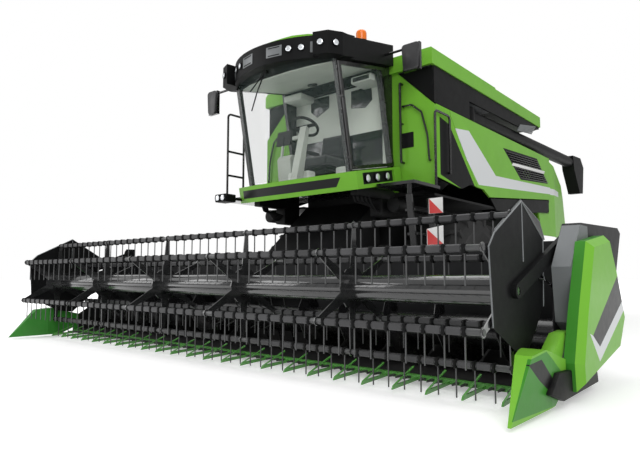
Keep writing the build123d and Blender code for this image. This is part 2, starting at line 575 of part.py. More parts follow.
with BuildPart() as cab_shell:
    # floor, level, with a bowed front
    with BuildSketch(Plane.XY.offset(CAB_FLOOR - 60)):
        with BuildLine():
            Polyline((CAB_HALF, CAB_FRONT), (CAB_HALF, FRONT_WALL_Y - PANEL_T), (-CAB_HALF, FRONT_WALL_Y - PANEL_T),
                     (-CAB_HALF, CAB_FRONT))
            ThreePointArc((-CAB_HALF, CAB_FRONT), (0, CAB_FRONT - CAB_BULGE), (CAB_HALF, CAB_FRONT))
        make_face()
    extrude(amount=60)
    for s in (-1, 1):
        a, b = sorted((s * (CAB_HALF - PILLAR), s * CAB_HALF))
        prism_x([(CAB_FRONT, CAB_FLOOR - 60), (CAB_FRONT, CAB_SILL), (CAB_REAR, CAB_SILL + CAB_RISE * (CAB_REAR - CAB_FRONT)),
                 (CAB_REAR, CAB_FLOOR - 60)], a, b)
        prism_x([(CAB_REAR, CAB_SILL), (CAB_REAR, CAB_WALL_TOP), (CAB_BACK, CAB_WALL_TOP),
                 (CAB_BACK, along(VISOR_LOW, CAB_BACK) - SEAT), (-2510, along(VISOR_LOW, -2510) - SEAT),
                 (CAB_REAR - 20, CAB_SILL + 150)], a, b)
        for y0, y1 in ((0, PILLAR), (CAB_DEPTH - PILLAR, CAB_DEPTH)):
            with BuildSketch(CAB):
                with Locations(((a + b) / 2, (y0 + y1) / 2)):
                    Rectangle(PILLAR, y1 - y0)
            extrude(amount=CAB_HEIGHT)
        with BuildSketch(CAB.offset(DOOR_HEIGHT)):
            with Locations(((a + b) / 2, CAB_DEPTH / 2)):
                Rectangle(PILLAR, CAB_DEPTH)
        extrude(amount=CAB_HEIGHT - DOOR_HEIGHT)
    prism_x([(CAB_REAR, CAB_FLOOR), (CAB_REAR, CAB_WALL_TOP), (CAB_BACK, CAB_WALL_TOP),
             (CAB_BACK, along(VISOR_LOW, CAB_BACK) - SEAT), (CAB_BACK - 40, along(VISOR_LOW, CAB_BACK - 40) - SEAT),
             (CAB_BACK - 40, CAB_WALL_TOP - 40), (CAB_REAR - 40, CAB_WALL_TOP - 40), (CAB_REAR - 40, CAB_FLOOR)],
            -CAB_HALF, CAB_HALF)
    for z in DOOR_HINGES:
        with BuildSketch(CAB.offset(z - DOOR_LUG_H)):
            with Locations(((CAB_HALF - 2 + DOOR_IN + DOOR_T + DOOR_HINGE_R) / 2, DOOR_MARGIN)):
                Rectangle(DOOR_T + DOOR_HINGE_R + 2 + SEAT, 2 * DOOR_HINGE_R)
        extrude(amount=DOOR_LUG_H)
        door_hinge_round(z - DOOR_LUG_H, z + 0.7 * DOOR_HINGE_H, DOOR_PIN_R)
save(cab_shell, "cab_shell")

with BuildPart() as cab_glass:
    cab_band(CAB_HALF - 4, 2, CAB_BULGE - 4, 0, 5, CAB_HEIGHT - 5)
    cab_band(CAB_HALF - 4, 2 - GLASS_T, CAB_BULGE - 4, 60, 0, CAB_HEIGHT, Mode.SUBTRACT)
    with BuildSketch(CAB.offset(5)):
        with Locations((-CAB_HALF + 20, CAB_DEPTH / 2)):
            Rectangle(GLASS_T, CAB_DEPTH - 2 * PILLAR - 2)
    extrude(amount=DOOR_HEIGHT - 10)
save(cab_glass, "cab_glass")

with BuildPart() as cab_door:
    with BuildSketch(CAB.offset(GAP)):
        with Locations((DOOR_IN + DOOR_T / 2, CAB_DEPTH / 2)):
            Rectangle(DOOR_T, CAB_DEPTH - 2 * DOOR_MARGIN)
    extrude(amount=DOOR_HEIGHT - 2 * GAP)
    with BuildSketch(CAB.offset(GAP + DOOR_FRAME)):
        with Locations((DOOR_IN + DOOR_T / 2, CAB_DEPTH / 2)):
            Rectangle(DOOR_T + 2, CAB_DEPTH - 2 * DOOR_MARGIN - 2 * DOOR_FRAME)
    extrude(amount=DOOR_HEIGHT - 2 * GAP - 2 * DOOR_FRAME, mode=Mode.SUBTRACT)
    for z in DOOR_HINGES:
        with BuildSketch(CAB.offset(z - DOOR_LUG_H - GAP)):
            with Locations(hinge_spot):
                Rectangle(2 * (DOOR_T + GAP), 2 * (DOOR_HINGE_R + 2 * GAP))
        extrude(amount=DOOR_LUG_H + GAP + SEAT, mode=Mode.SUBTRACT)
        door_hinge_round(z + SEAT, z + DOOR_HINGE_H, DOOR_HINGE_R)
        door_hinge_round(z, z + DOOR_HINGE_H + 1, DOOR_PIN_R + FIT, Mode.SUBTRACT)
save(cab_door, "cab_door")

with BuildPart() as cab_door_glass:
    with BuildSketch(CAB.offset(GAP + DOOR_FRAME)):
        with Locations((DOOR_IN + DOOR_T / 2, CAB_DEPTH / 2)):
            Rectangle(GLASS_T, CAB_DEPTH - 2 * DOOR_MARGIN - 2 * DOOR_FRAME)
    extrude(amount=DOOR_HEIGHT - 2 * GAP - 2 * DOOR_FRAME)
save(cab_door_glass, "cab_door_glass")

# Black visor round the top of the cab with its lamps, and the green roof cap on it
POD = [(800, -3820), (980, -3740), (1060, -3550), (1060, -3300), (800, -3300)]
POD_SIDE = [(-3820, 3640), (-3520, 3655), (-3300, 3700), (-3300, 3980), (-3450, 3955), (-3820, 3928)]
LAMP_R = 45
LAMP_DEPTH = 12
LAMP_Z = 3790


def visor_plan(half, nose, z0, z1, mode):
    """A level slab with the visor's plan: straight sides and rear, and a bowed front."""
    with BuildSketch(Plane.XY.offset(z0)) as plan:
        with BuildLine():
            Polyline((half, VISOR_LOW[1][0]), (half, CAB_BACK), (-half, CAB_BACK), (-half, VISOR_LOW[1][0]))
            ThreePointArc((-half, VISOR_LOW[1][0]), (0, nose), (half, VISOR_LOW[1][0]))
        make_face()
    extrude(plan.sketch, amount=z1 - z0, mode=mode)


nose_depth = VISOR_LOW[1][0] - VISOR_NOSE
nose_r = (VISOR_HALF ** 2 + nose_depth ** 2) / (2 * nose_depth)
with BuildPart() as cab_visor:
    prism_x(VISOR_LOW + VISOR_TOP[::-1], -VISOR_HALF, VISOR_HALF)
    visor_plan(VISOR_HALF, VISOR_NOSE, 3500, 4300, Mode.INTERSECT)
    for s in (-1, 1):
        with BuildPart(mode=Mode.PRIVATE) as pod:
            prism_z([(s * x, y) for x, y in POD], 3500, 4100)
            prism_x(POD_SIDE, *sorted((s * 780, s * 1080)), Mode.INTERSECT)
        add(pod.part)
        for x, face_y, turn in ((450, None, None), (600, None, None), (890, -3780, -66), (1020, -3645, -23)):
            turn = radians(turn) if turn else atan2(-(nose_r ** 2 - x ** 2) ** 0.5, x)
            face_y = face_y or VISOR_NOSE + nose_r + nose_r * sin(turn)
            rod((s * (x - 20 * cos(turn)), face_y - 20 * sin(turn), LAMP_Z),
                (s * (x + LAMP_DEPTH * cos(turn)), face_y + LAMP_DEPTH * sin(turn), LAMP_Z), LAMP_R)
    cab_band(CAB_HALF + SEAT, SEAT, CAB_BULGE, CAB_DEPTH + SEAT, CAB_HEIGHT - 300, CAB_HEIGHT + SEAT, Mode.SUBTRACT)
save(cab_visor, "cab_visor")

ROOF = [(-820, SEAT), (820, SEAT), (790, 40), (650, 75), (350, 105), (-350, 105), (-650, 75), (-790, 40)]
ROOF_SIDE = [(CAB_BACK + 1, VISOR_TOP[2][1] + SEAT), (VISOR_TOP[1][0], VISOR_TOP[1][1] + SEAT),
             (VISOR_NOSE, VISOR_TOP[0][1] + 3 + SEAT), (VISOR_NOSE, 3935), (-3800, 3985), (-3400, 4085),
             (-2800, 4215), (CAB_BACK + 1, 4260)]
with BuildPart() as cab_roof:
    with BuildSketch(Plane(origin=(0, CAB_BACK, VISOR_TOP[2][1]), x_dir=(1, 0, 0),
                           z_dir=(0, VISOR_TOP[1][0] - CAB_BACK, VISOR_TOP[1][1] - VISOR_TOP[2][1]))) as crown:
        with BuildLine():
            Polyline(*ROOF, close=True)
        make_face()
    extrude(crown.sketch, amount=1800)
    prism_x(ROOF_SIDE, -VISOR_HALF, VISOR_HALF, Mode.INTERSECT)
    visor_plan(VISOR_HALF - 30, VISOR_NOSE + 50, 3800, 4400, Mode.INTERSECT)
save(cab_roof, "cab_roof")

# Green apron under the windscreen and the door, with a pocket for three headlamps on the left
POCKET = (60, 800)
POCKET_H = (-205, -50)
POCKET_DEPTH = 20
HEADLAMPS = (180, 400, 640)
HEADLAMP_R = 60
APRON_HALF = CAB_HALF + 150
with BuildPart() as cab_apron:
    cab_band(APRON_HALF, 75, CAB_BULGE, CAB_DEPTH - 60, -250, -20)
    cab_band(CAB_HALF, 40, CAB_BULGE, CAB_DEPTH + 40, -300, 50, Mode.SUBTRACT)
    with BuildSketch(CAB.offset(POCKET_H[0])):
        with Locations((APRON_HALF, (POCKET[0] + POCKET[1]) / 2)):
            Rectangle(2 * POCKET_DEPTH, POCKET[1] - POCKET[0])
    extrude(amount=POCKET_H[1] - POCKET_H[0], mode=Mode.SUBTRACT)
    for y in HEADLAMPS:
        middle = CAB.from_local_coords(Vector(APRON_HALF, y, sum(POCKET_H) / 2))
        rod((APRON_HALF - POCKET_DEPTH - 5, middle.Y, middle.Z), (APRON_HALF - 4, middle.Y, middle.Z), HEADLAMP_R)
save(cab_apron, "cab_apron")

# Inside the cab
with BuildPart() as operator_seat:
    block((-180, 180), (-2800, -2500), (CAB_FLOOR, 2500))
    prism_x([(-2910, 2500), (-2400, 2500), (-2400, 2600), (-2850, 2640), (-2910, 2610)], -260, 260)
    prism_x([(-2490, 2600), (-2420, 2600), (-2340, 3060), (-2410, 3060)], -250, 250)
    prism_x([(-2780, 2810), (-2400, 2790), (-2400, 2740), (-2780, 2760)], -310, -249)
save(operator_seat, "operator_seat")

WHEEL_R = 200
with BuildPart() as steering_console:
    prism_x([(-3320, CAB_FLOOR), (-3180, CAB_FLOOR), (-3030, 3020), (-3090, 3040)], -60, 60)
    with BuildSketch(Plane(origin=(0, -3050, 3030), x_dir=(1, 0, 0), z_dir=(0, 0.5, 0.86))) as wheel:
        Circle(WHEEL_R)
        Circle(WHEEL_R - 32, mode=Mode.SUBTRACT)
        Rectangle(2 * WHEEL_R - 20, 40)
    extrude(wheel.sketch, amount=28)
    prism_x([(-2950, CAB_FLOOR), (-3000, 2640), (-2960, 2700), (-2400, 2720), (-2400, CAB_FLOOR)], -600, -340)
    prism_x([(-2990, 2600), (-2960, 2600), (-2900, 3000), (-2930, 3000)], -560, -530)
    prism_x([(-2945, 2870), (-2905, 2870), (-2870, 3090), (-2910, 3090)], -680, -400)
save(steering_console, "steering_console")

# Platform on the left with its hoop rail, and the mirrors on their arms. The ladder's pin turns in a
# bush below the platform's front corner.
RAIL_R = 17
PLATFORM_Z = 2080
PLATFORM_T = 40
PLATFORM_IN = 1100
RIGHT_RAIL_TOP = 3480
RIGHT_RAILS = (2500, 2880)
LADDER_X = BODY_HALF - 40
LADDER_PIN_Y = -2860
LADDER_PIN_R = 15
LADDER_TOP = 1950
HOOP_X = BODY_HALF + 38
HOOP_TOP = 3140
HOOP_REAR = -1880
HOOP_FOOT = 2330
MIRRORS = [(1, 1430, 130, -2540, 3660, 4030, VISOR_HALF), (-1, 1500, 100, -3500, 3400, 3760, POD[2][0])]
RIGHT_RAIL_X = 1500
with BuildPart() as rails_and_mirrors:
    block((PLATFORM_IN, HOOP_X + 20), (-2900, FRONT_WALL_Y - PANEL_T - SEAT), (PLATFORM_Z, PLATFORM_Z + PLATFORM_T))
    rod((LADDER_X, LADDER_PIN_Y, LADDER_TOP + GAP), (LADDER_X, LADDER_PIN_Y, PLATFORM_Z), 2 * LADDER_PIN_R)
    rod((LADDER_X, LADDER_PIN_Y, LADDER_TOP), (LADDER_X, LADDER_PIN_Y, PLATFORM_Z), LADDER_PIN_R + FIT, Mode.SUBTRACT)
    bent_tube([(HOOP_X, -2300, PLATFORM_Z + 20), (HOOP_X, -2300, HOOP_TOP), (HOOP_X, HOOP_REAR, HOOP_TOP),
               (HOOP_X, HOOP_REAR, HOOP_FOOT)], RAIL_R, 60)
    rod((BODY_HALF + SEAT, HOOP_REAR, HOOP_FOOT + RAIL_R), (HOOP_X, HOOP_REAR, HOOP_FOOT + RAIL_R), RAIL_R)
    for s, x, half, y, z0, z1, arm_x in MIRRORS:
        block((s * x - half, s * x + half), (y, y + 50), (z0, z1))
        rod((s * (arm_x + SEAT), y + 25, z1 - 40), (s * x, y + 25, z1 - 40), RAIL_R)
    block((-RIGHT_RAIL_X - 60, -PLATFORM_IN), (-3230, FRONT_WALL_Y - PANEL_T - SEAT), (PLATFORM_Z, PLATFORM_Z + PLATFORM_T))
    bent_tube([(-RIGHT_RAIL_X, -3190, PLATFORM_Z + 20), (-RIGHT_RAIL_X, -3190, RIGHT_RAIL_TOP),
               (-RIGHT_RAIL_X, -2860, RIGHT_RAIL_TOP), (-RIGHT_RAIL_X, -2860, PLATFORM_Z + 20)], RAIL_R, 60)
    for z in RIGHT_RAILS:
        rod((-RIGHT_RAIL_X, -3190, z), (-RIGHT_RAIL_X, -2860, z), RAIL_R)
save(rails_and_mirrors, "rails_and_mirrors")

# Beacons: two domes on the visor's top
BEACON_X = 905
BEACON_Y = -2940
BEACON_R = 72
BEACON_H = 165
beacon_z = along(VISOR_TOP, BEACON_Y)
with BuildPart() as beacons:
    for s in (-1, 1):
        rod((s * BEACON_X, BEACON_Y, beacon_z - 50), (s * BEACON_X, BEACON_Y, beacon_z + BEACON_H), BEACON_R)
    fillet(beacons.edges().group_by(Axis.Z)[-1], 0.8 * BEACON_R)
    prism_x([(y, along(VISOR_TOP, y) + rise) for y, rise in ((BEACON_Y - 100, -100), (BEACON_Y - 100, SEAT),
            (BEACON_Y + 100, SEAT), (BEACON_Y + 100, -100))], -VISOR_HALF, VISOR_HALF, Mode.SUBTRACT)
save(beacons, "beacons")

# Ladder below the platform, turning on an upright pin
with BuildPart() as ladder:
    rod((LADDER_X, LADDER_PIN_Y, LADDER_TOP - 20), (LADDER_X, LADDER_PIN_Y, PLATFORM_Z - GAP), LADDER_PIN_R)
    for y in (LADDER_PIN_Y, -2340):
        prism_y([(LADDER_X - 40, LADDER_TOP), (LADDER_X + 40, LADDER_TOP), (LADDER_X + 180, 480), (LADDER_X + 100, 480)],
                y - 15, y + 15)
    for i in range(5):
        z = 540 + i * 300
        x = LADDER_X + 150 - (z - 480) * 0.095
        block((x - 90, x + 50), (-2860, -2340), (z, z + 30))
save(ladder, "ladder")

# Feederhouse
FEED = [(HEAD_BACK, 250), (HEAD_BACK, 1000), (-2300, 1990), (-2180, 1900), (-2160, 1400), (-2500, 1050)]
FEED_VOID = [(HEAD_BACK - 40, 300), (HEAD_BACK - 40, 950), (-2320, 1930), (-2100, 1850), (-2100, 1450), (-2520, 1115)]
with BuildPart() as feederhouse:
    prism_x(FEED, -FEED_HALF, FEED_HALF)
    prism_x(FEED_VOID, -FEED_HALF + FEED_WALL, FEED_HALF - FEED_WALL, Mode.SUBTRACT)
    for s in (-1, 1):
        rod((s * (FEED_HALF - 10), FEED_PIVOT_Y, FEED_PIVOT_Z), (s * (FEED_HALF + 65), FEED_PIVOT_Y, FEED_PIVOT_Z),
            FEED_PIN_R)
        a, b = sorted((s * (FEED_HALF - 12), s * (LIFT_X - LIFT_LUG)))
        prism_x([(LIFT_EYE_Y - 60, LIFT_EYE_Z - 30), (LIFT_EYE_Y + 50, LIFT_EYE_Z - 50), (LIFT_EYE_Y + 220, 900),
                 (LIFT_EYE_Y - 160, 800)], a, b)
save(feederhouse, "feederhouse")

# Header frame: back wall in sheets round the crop opening, tray, top beam and end walls
wall_y = HEAD_BACK - HEAD_BACK_T
END_WALL = [(wall_y, TRAY_Z), (KNIFE_Y + 20, TRAY_Z), (KNIFE_Y + 20, 330), (-4120, 520), (-4060, 1000), (-3700, 1180),
            (-3650, 1350), (-3620, 1390), (HEAD_BACK, 1390), (HEAD_BACK, TRAY_Z)]
DRIVE_CASE = [(-4090, 573), (-4140, 1017), (-3810, 1390), (-2460, 1430), (-2350, 1380), (-2900, 500), (-3920, 480)]
DRIVE_CASE_W = 150
REEL_CYL_BASE = (-3660, 760)
REEL_CYL_TIP = (-4250, 925)
REEL_CYL_PIN = 8
REEL_CYL_EYE = 36
REEL_CYL_R = 14
REEL_ROD_R = 8
REEL_CYL_X = HEAD_HALF - 23
REEL_BARREL = 440
REEL_ROD_START = 60
REEL_EYE_R = 16
DRUM_SHAFT_R = 40
MOUTH_HALF = FEED_HALF - FEED_WALL
MOUTH_LOW = 300
MOUTH_TOP = 950
TROUGH = 265             # depth and height of the slope behind the auger
tray_top = TRAY_Z + TRAY_T + SEAT
with BuildPart() as header_frame:
    block((-MOUTH_HALF, MOUTH_HALF), (wall_y, HEAD_BACK), (MOUTH_TOP, HEAD_TOP))
    block((-MOUTH_HALF, MOUTH_HALF), (wall_y, HEAD_BACK), (TRAY_Z, MOUTH_LOW))
    block((-HEAD_HALF, HEAD_HALF), (KNIFE_Y, wall_y - SEAT), (TRAY_Z, TRAY_Z + TRAY_T))
    block((-ARM_IN + 16, ARM_IN - 16), (wall_y - 60, HEAD_BACK), (HEAD_TOP + SEAT, HEAD_TOP + 110))
    for s in (-1, 1):
        block(sorted((s * (MOUTH_HALF + SEAT), s * (HEAD_HALF - SEAT))), (wall_y, HEAD_BACK), (TRAY_Z, HEAD_TOP))
        prism_x([(wall_y - SEAT, tray_top + TROUGH), (wall_y - SEAT, tray_top), (wall_y - SEAT - TROUGH, tray_top)],
                *sorted((s * (MOUTH_HALF + SEAT), s * (HEAD_HALF - SEAT))))
        a, b = sorted((s * HEAD_HALF, s * (HEAD_HALF + HEAD_WALL)))
        prism_x(END_WALL, a, b)
        rod((s * (ARM_IN - 5), ARM_PIVOT_Y, ARM_PIVOT_Z), (s * (HEAD_HALF + 5), ARM_PIVOT_Y, ARM_PIVOT_Z), 25)
        rod((s * (HEAD_HALF - REEL_CYL_EYE - 4), *REEL_CYL_BASE), (s * (HEAD_HALF + 5), *REEL_CYL_BASE), REEL_CYL_PIN)
        rod((s * HEAD_HALF, DRUM_Y, DRUM_Z), (s * (HEAD_HALF + HEAD_WALL), DRUM_Y, DRUM_Z), DRUM_SHAFT_R + FIT, Mode.SUBTRACT)
    prism_x(DRIVE_CASE, HEAD_HALF + HEAD_WALL, HEAD_HALF + HEAD_WALL + DRIVE_CASE_W)
save(header_frame, "header_frame")

# Crop dividers at both ends, narrowing to a low point in front
DIVIDER = [(-5417, 28), (-5270, 190), (-5070, 420), (-4840, 440), (-4430, 330), (-4430, 150), (-4700, 40)]
DIVIDER_W = 170
with BuildPart() as header_dividers:
    for s in (-1, 1):
        inner, outer = HEAD_HALF + HEAD_WALL, HEAD_HALF + HEAD_WALL + DIVIDER_W
        with BuildPart(mode=Mode.PRIVATE) as nose:
            prism_x(DIVIDER, *sorted((s * inner, s * outer)))
            prism_z([(s * inner, KNIFE_Y + 20), (s * outer, KNIFE_Y + 20), (s * outer, -4760), (s * (inner + 130), -5420),
                     (s * (inner + 110), -5420), (s * inner, -4900)], 0, 600, Mode.INTERSECT)
        add(nose.part)
        prism_x([(-4500, 60), (-4500, 290), (-4300, 300), (-4300, 60)], *sorted((s * inner, s * (inner + 12))))
save(header_dividers, "header_dividers")

# Drive covers on the left end
COVER_OUT = HEAD_HALF + HEAD_WALL + DRIVE_CASE_W + 136
with BuildPart() as header_drive_cover:
    prism_x([(-3995, 1223), (-3410, 1300), (-3196, 1016), (-2920, 553), (-3190, 269), (-4050, 147),
             (-4400, 95), (-4420, 302), (-4256, 691)], HEAD_HALF + HEAD_WALL + DRIVE_CASE_W + SEAT, COVER_OUT)
    outer_face = header_drive_cover.faces().sort_by(Axis.X)[-1]
    chamfer(outer_face.edges(), 55)
save(header_drive_cover, "header_drive_cover")

# Cutterbar and crop lifters
with BuildPart() as cutterbar:
    block((-HEAD_HALF, HEAD_HALF), (KNIFE_Y - KNIFE_DEPTH, KNIFE_Y), (45, 85))
    with BuildSketch(Plane.XY.offset(GUARD_Z)) as guards:
        for k in range(-2 * LIFTER_COUNT + 1, 2 * LIFTER_COUNT):
            if (k + 2 * LIFTER_COUNT - 2) % 4:
                x = k * LIFTER_PITCH / 4
                with BuildLine():
                    Polyline((x - GUARD_W / 2, KNIFE_Y - KNIFE_DEPTH + 5), (x, KNIFE_Y - KNIFE_DEPTH - GUARD_L),
                             (x + GUARD_W / 2, KNIFE_Y - KNIFE_DEPTH + 5), close=True)
                make_face()
    extrude(guards.sketch, amount=GUARD_T)
save(cutterbar, "cutterbar")

with BuildPart() as crop_lifters:
    for i in range(LIFTER_COUNT):
        x = (i - (LIFTER_COUNT - 1) / 2) * LIFTER_PITCH
        prism_x([(LIFTER_TIP_Y, 25), (KNIFE_Y - 50, 45), (KNIFE_Y - 50, 70), (LIFTER_TIP_Y + 60, 60), (-4560, 160),
                 (-4560, 172), (LIFTER_TIP_Y + 20, 55)], x - 8, x + 8)
save(crop_lifters, "crop_lifters")

# Header auger: a drum with left and right-hand flights that bring the crop to the middle,
# and fingers between them
FLIGHT_PITCH = 560
FLIGHT_T = 8
FLIGHT_FACES = 12         # flat facets to a turn
FLIGHT_IN = 680
FINGER_ROWS = 4
FINGER_COUNT = 5
FINGER_R = 9
drum_end = HEAD_HALF - 14
flight_steps = int((drum_end - FLIGHT_IN - 20) / FLIGHT_PITCH * FLIGHT_FACES)
with BuildPart() as header_auger:
    rod((-drum_end, DRUM_Y, DRUM_Z), (drum_end, DRUM_Y, DRUM_Z), DRUM_R)
    rod((-HEAD_HALF - HEAD_WALL + 2, DRUM_Y, DRUM_Z), (HEAD_HALF + HEAD_WALL - 2, DRUM_Y, DRUM_Z), DRUM_SHAFT_R)
    for s in (-1, 1):
        sections = []
        for i in range(flight_steps + 1):
            angle = radians(s * 360 * i / FLIGHT_FACES)
            middle = (DRUM_R - 8 + FLIGHT_R) / 2
            with BuildSketch(Plane(origin=(s * (FLIGHT_IN + FLIGHT_PITCH * i / FLIGHT_FACES), DRUM_Y + middle * cos(angle),
                                           DRUM_Z + middle * sin(angle)),
                                   x_dir=(0, cos(angle), sin(angle)), z_dir=(0, -sin(angle), cos(angle)))) as section:
                Rectangle(FLIGHT_R - DRUM_R + 8, FLIGHT_T)
            sections.append(section.sketch)
        loft(sections, ruled=True)
    for k in range(FINGER_ROWS):
        for i in range(FINGER_COUNT):
            x = (i - (FINGER_COUNT - 1) / 2 + (k % 2) * 0.5 - 0.25) * 220
            angle = radians(90 * k + 20)
            rod((x, DRUM_Y + (DRUM_R - 10) * cos(angle), DRUM_Z + (DRUM_R - 10) * sin(angle)),
                (x, DRUM_Y + FLIGHT_R * cos(angle), DRUM_Z + FLIGHT_R * sin(angle)), FINGER_R)
save(header_auger, "header_auger")

# Reel
with BuildPart() as reel_core:
    rod((-BAR_HALF + 10, REEL_Y, REEL_Z), (BAR_HALF - 10, REEL_Y, REEL_Z), REEL_TUBE_R)
    rod((-ARM_OUT + 4, REEL_Y, REEL_Z), (ARM_OUT - 4, REEL_Y, REEL_Z), 30)
    for i in range(SPIDER_COUNT):
        x = (i - (SPIDER_COUNT - 1) / 2) * SPIDER_PITCH
        with BuildSketch(Plane.YZ.offset(x - SPIDER_T / 2)) as spider:
            with Locations((REEL_Y, REEL_Z)):
                RegularPolygon(SPIDER_HUB, 12)
            for k in range(REEL_BARS):
                angle = 30 + REEL_PHASE + 60 * k
                tip = (REEL_Y + REEL_R * cos(radians(angle)), REEL_Z + REEL_R * sin(radians(angle)))
                with Locations(Location(((REEL_Y + tip[0]) / 2, (REEL_Z + tip[1]) / 2, 0), (0, 0, 1), angle - 90)):
                    Trapezoid(SPIDER_ROOT, REEL_R, degrees(atan2(REEL_R, (SPIDER_ROOT - SPIDER_TIP) / 2)))
                with Locations(tip):
                    RegularPolygon(BAR_R + 16, 8)
                    RegularPolygon(BAR_R / cos(radians(22.5)) + 2 * FIT, 16, major_radius=False, mode=Mode.SUBTRACT)
        extrude(spider.sketch, amount=SPIDER_T)
save(reel_core, "reel_core")

for k in range(REEL_BARS):
    angle = radians(30 + REEL_PHASE + 60 * k)
    bar_y, bar_z = REEL_Y + REEL_R * cos(angle), REEL_Z + REEL_R * sin(angle)
    with BuildPart() as tine_bar:
        with BuildSketch(Plane.YZ.offset(-BAR_HALF)):
            with Locations((bar_y, bar_z)):
                RegularPolygon(BAR_R, 8, major_radius=False, rotation=0)
        extrude(amount=2 * BAR_HALF)
        with BuildSketch(Plane.XY.offset(bar_z - TINE_LENGTH)):
            for i in range(TINE_COUNT):
                x = (i - (TINE_COUNT - 1) / 2) * TINE_PITCH
                with Locations((x, bar_y)):
                    Rectangle(TINE_W, 8)
        extrude(amount=TINE_LENGTH - BAR_R / 2)
    save(tine_bar, f"tine_bar_{k + 1}")

# Reel arms with their end shields
arm_run = hypot(REEL_Y - ARM_PIVOT_Y, REEL_Z - ARM_PIVOT_Z)
ARM_ANGLE = atan2(REEL_Z - ARM_PIVOT_Z, REEL_Y - ARM_PIVOT_Y)
SHIELD = [(-5190, 600), (-5230, 1140), (-5130, 1240), (-4600, 1510), (-4140, 1240), (-4180, 700), (-4560, 370), (-4790, 400)]
SHIELD_T = 4
REEL_LUG_T = 6
with BuildPart() as reel_arms:
    for s in (-1, 1):
        a, b = sorted((s * ARM_IN, s * ARM_OUT))
        c, d = sorted((s * (ARM_IN - SHIELD_T), s * ARM_IN))
        with BuildSketch(Plane.YZ.offset(a)):
            with Locations(Location(((REEL_Y + ARM_PIVOT_Y) / 2, (REEL_Z + ARM_PIVOT_Z) / 2, 0), (0, 0, 1), degrees(ARM_ANGLE))):
                SlotCenterToCenter(arm_run, ARM_DEPTH)
        extrude(amount=b - a)
        prism_x(SHIELD, c, d)
        e, f = sorted((s * ARM_IN, s * (ARM_IN + REEL_LUG_T)))
        prism_x([(REEL_CYL_TIP[0] - 60, REEL_CYL_TIP[1] + 80), (REEL_CYL_TIP[0] + 60, REEL_CYL_TIP[1] + 110),
                 (REEL_CYL_TIP[0] + 20, REEL_CYL_TIP[1] - 20), (REEL_CYL_TIP[0] - 20, REEL_CYL_TIP[1] - 20)], e, f)
        rod((s * (ARM_IN - 20), REEL_Y, REEL_Z), (s * (ARM_OUT + 10), REEL_Y, REEL_Z), 30 + FIT, Mode.SUBTRACT)
        rod((s * (ARM_IN - 20), ARM_PIVOT_Y, ARM_PIVOT_Z), (s * (ARM_OUT + 10), ARM_PIVOT_Y, ARM_PIVOT_Z), 25 + FIT,
            Mode.SUBTRACT)
save(reel_arms, "reel_arms")


def cylinder_barrel(x, base, tip, radius, bore, pin, length):
    """A hydraulic barrel on the line X = x: an eye round its pin at base, bored from its mouth."""
    run = Vector(0, tip[0] - base[0], tip[1] - base[1]).normalized()
    start = Vector(x, *base)
    rod((x - 0.9 * radius, *base), (x + 0.9 * radius, *base), 1.2 * radius)
    rod(tuple(start), tuple(start + run * length), radius)
    rod(tuple(start + run * 1.5 * radius), tuple(start + run * (length + 1)), bore, Mode.SUBTRACT)
    rod((x - 2 * radius, *base), (x + 2 * radius, *base), pin + FIT, Mode.SUBTRACT)


def cylinder_rod(x, eye_x, base, tip, radius, eye_r, start):
    """A piston rod on the line X = x, from `start` past the base to an eye at its tip, across eye_x."""
    run = Vector(0, tip[0] - base[0], tip[1] - base[1]).normalized()
    rod(tuple(Vector(x, *base) + run * start), (x, *tip), radius)
    rod((eye_x[0], *tip), (eye_x[1], *tip), eye_r)


# Reel lift cylinders, between the end walls and the arms
with BuildPart() as reel_barrels:
    for s in (-1, 1):
        cylinder_barrel(s * REEL_CYL_X, REEL_CYL_BASE, REEL_CYL_TIP, REEL_CYL_R, REEL_ROD_R + FIT, REEL_CYL_PIN,
                        REEL_BARREL)
save(reel_barrels, "reel_barrels")

with BuildPart() as reel_rods:
    for s in (-1, 1):
        eye = sorted((s * (ARM_IN + REEL_LUG_T + SEAT), s * (REEL_CYL_X + REEL_CYL_R)))
        cylinder_rod(s * REEL_CYL_X, eye, REEL_CYL_BASE, REEL_CYL_TIP, REEL_ROD_R, REEL_EYE_R, REEL_ROD_START)
save(reel_rods, "reel_rods")

# Header lift cylinders, between the front axle and the feederhouse
with BuildPart() as lift_barrels:
    for s in (-1, 1):
        cylinder_barrel(s * LIFT_X, (LIFT_BASE_Y, LIFT_BASE_Z), (LIFT_EYE_Y, LIFT_EYE_Z), LIFT_BARREL_R,
                        LIFT_ROD_R + FIT, LIFT_PIN_R, LIFT_BARREL)
save(lift_barrels, "lift_barrels")

with BuildPart() as lift_rods:
    for s in (-1, 1):
        eye = sorted((s * (LIFT_X - LIFT_LUG + SEAT), s * (LIFT_X + LIFT_LUG)))
        cylinder_rod(s * LIFT_X, eye, (LIFT_BASE_Y, LIFT_BASE_Z), (LIFT_EYE_Y, LIFT_EYE_Z), LIFT_ROD_R,
                     LIFT_BARREL_R, LIFT_ROD_START)
save(lift_rods, "lift_rods")
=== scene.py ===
"""Looks of a combine harvester with its grain header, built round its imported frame.

Everything is in metres in the frame's axes: +Z is up, the front faces -Y and +X is the machine's left.
Each sub-assembly is a class that holds its sizes as fields and dresses or models its own pieces.
"""

from __future__ import annotations

import logging
import math
from dataclasses import dataclass
from enum import Enum
from typing import Callable, Sequence

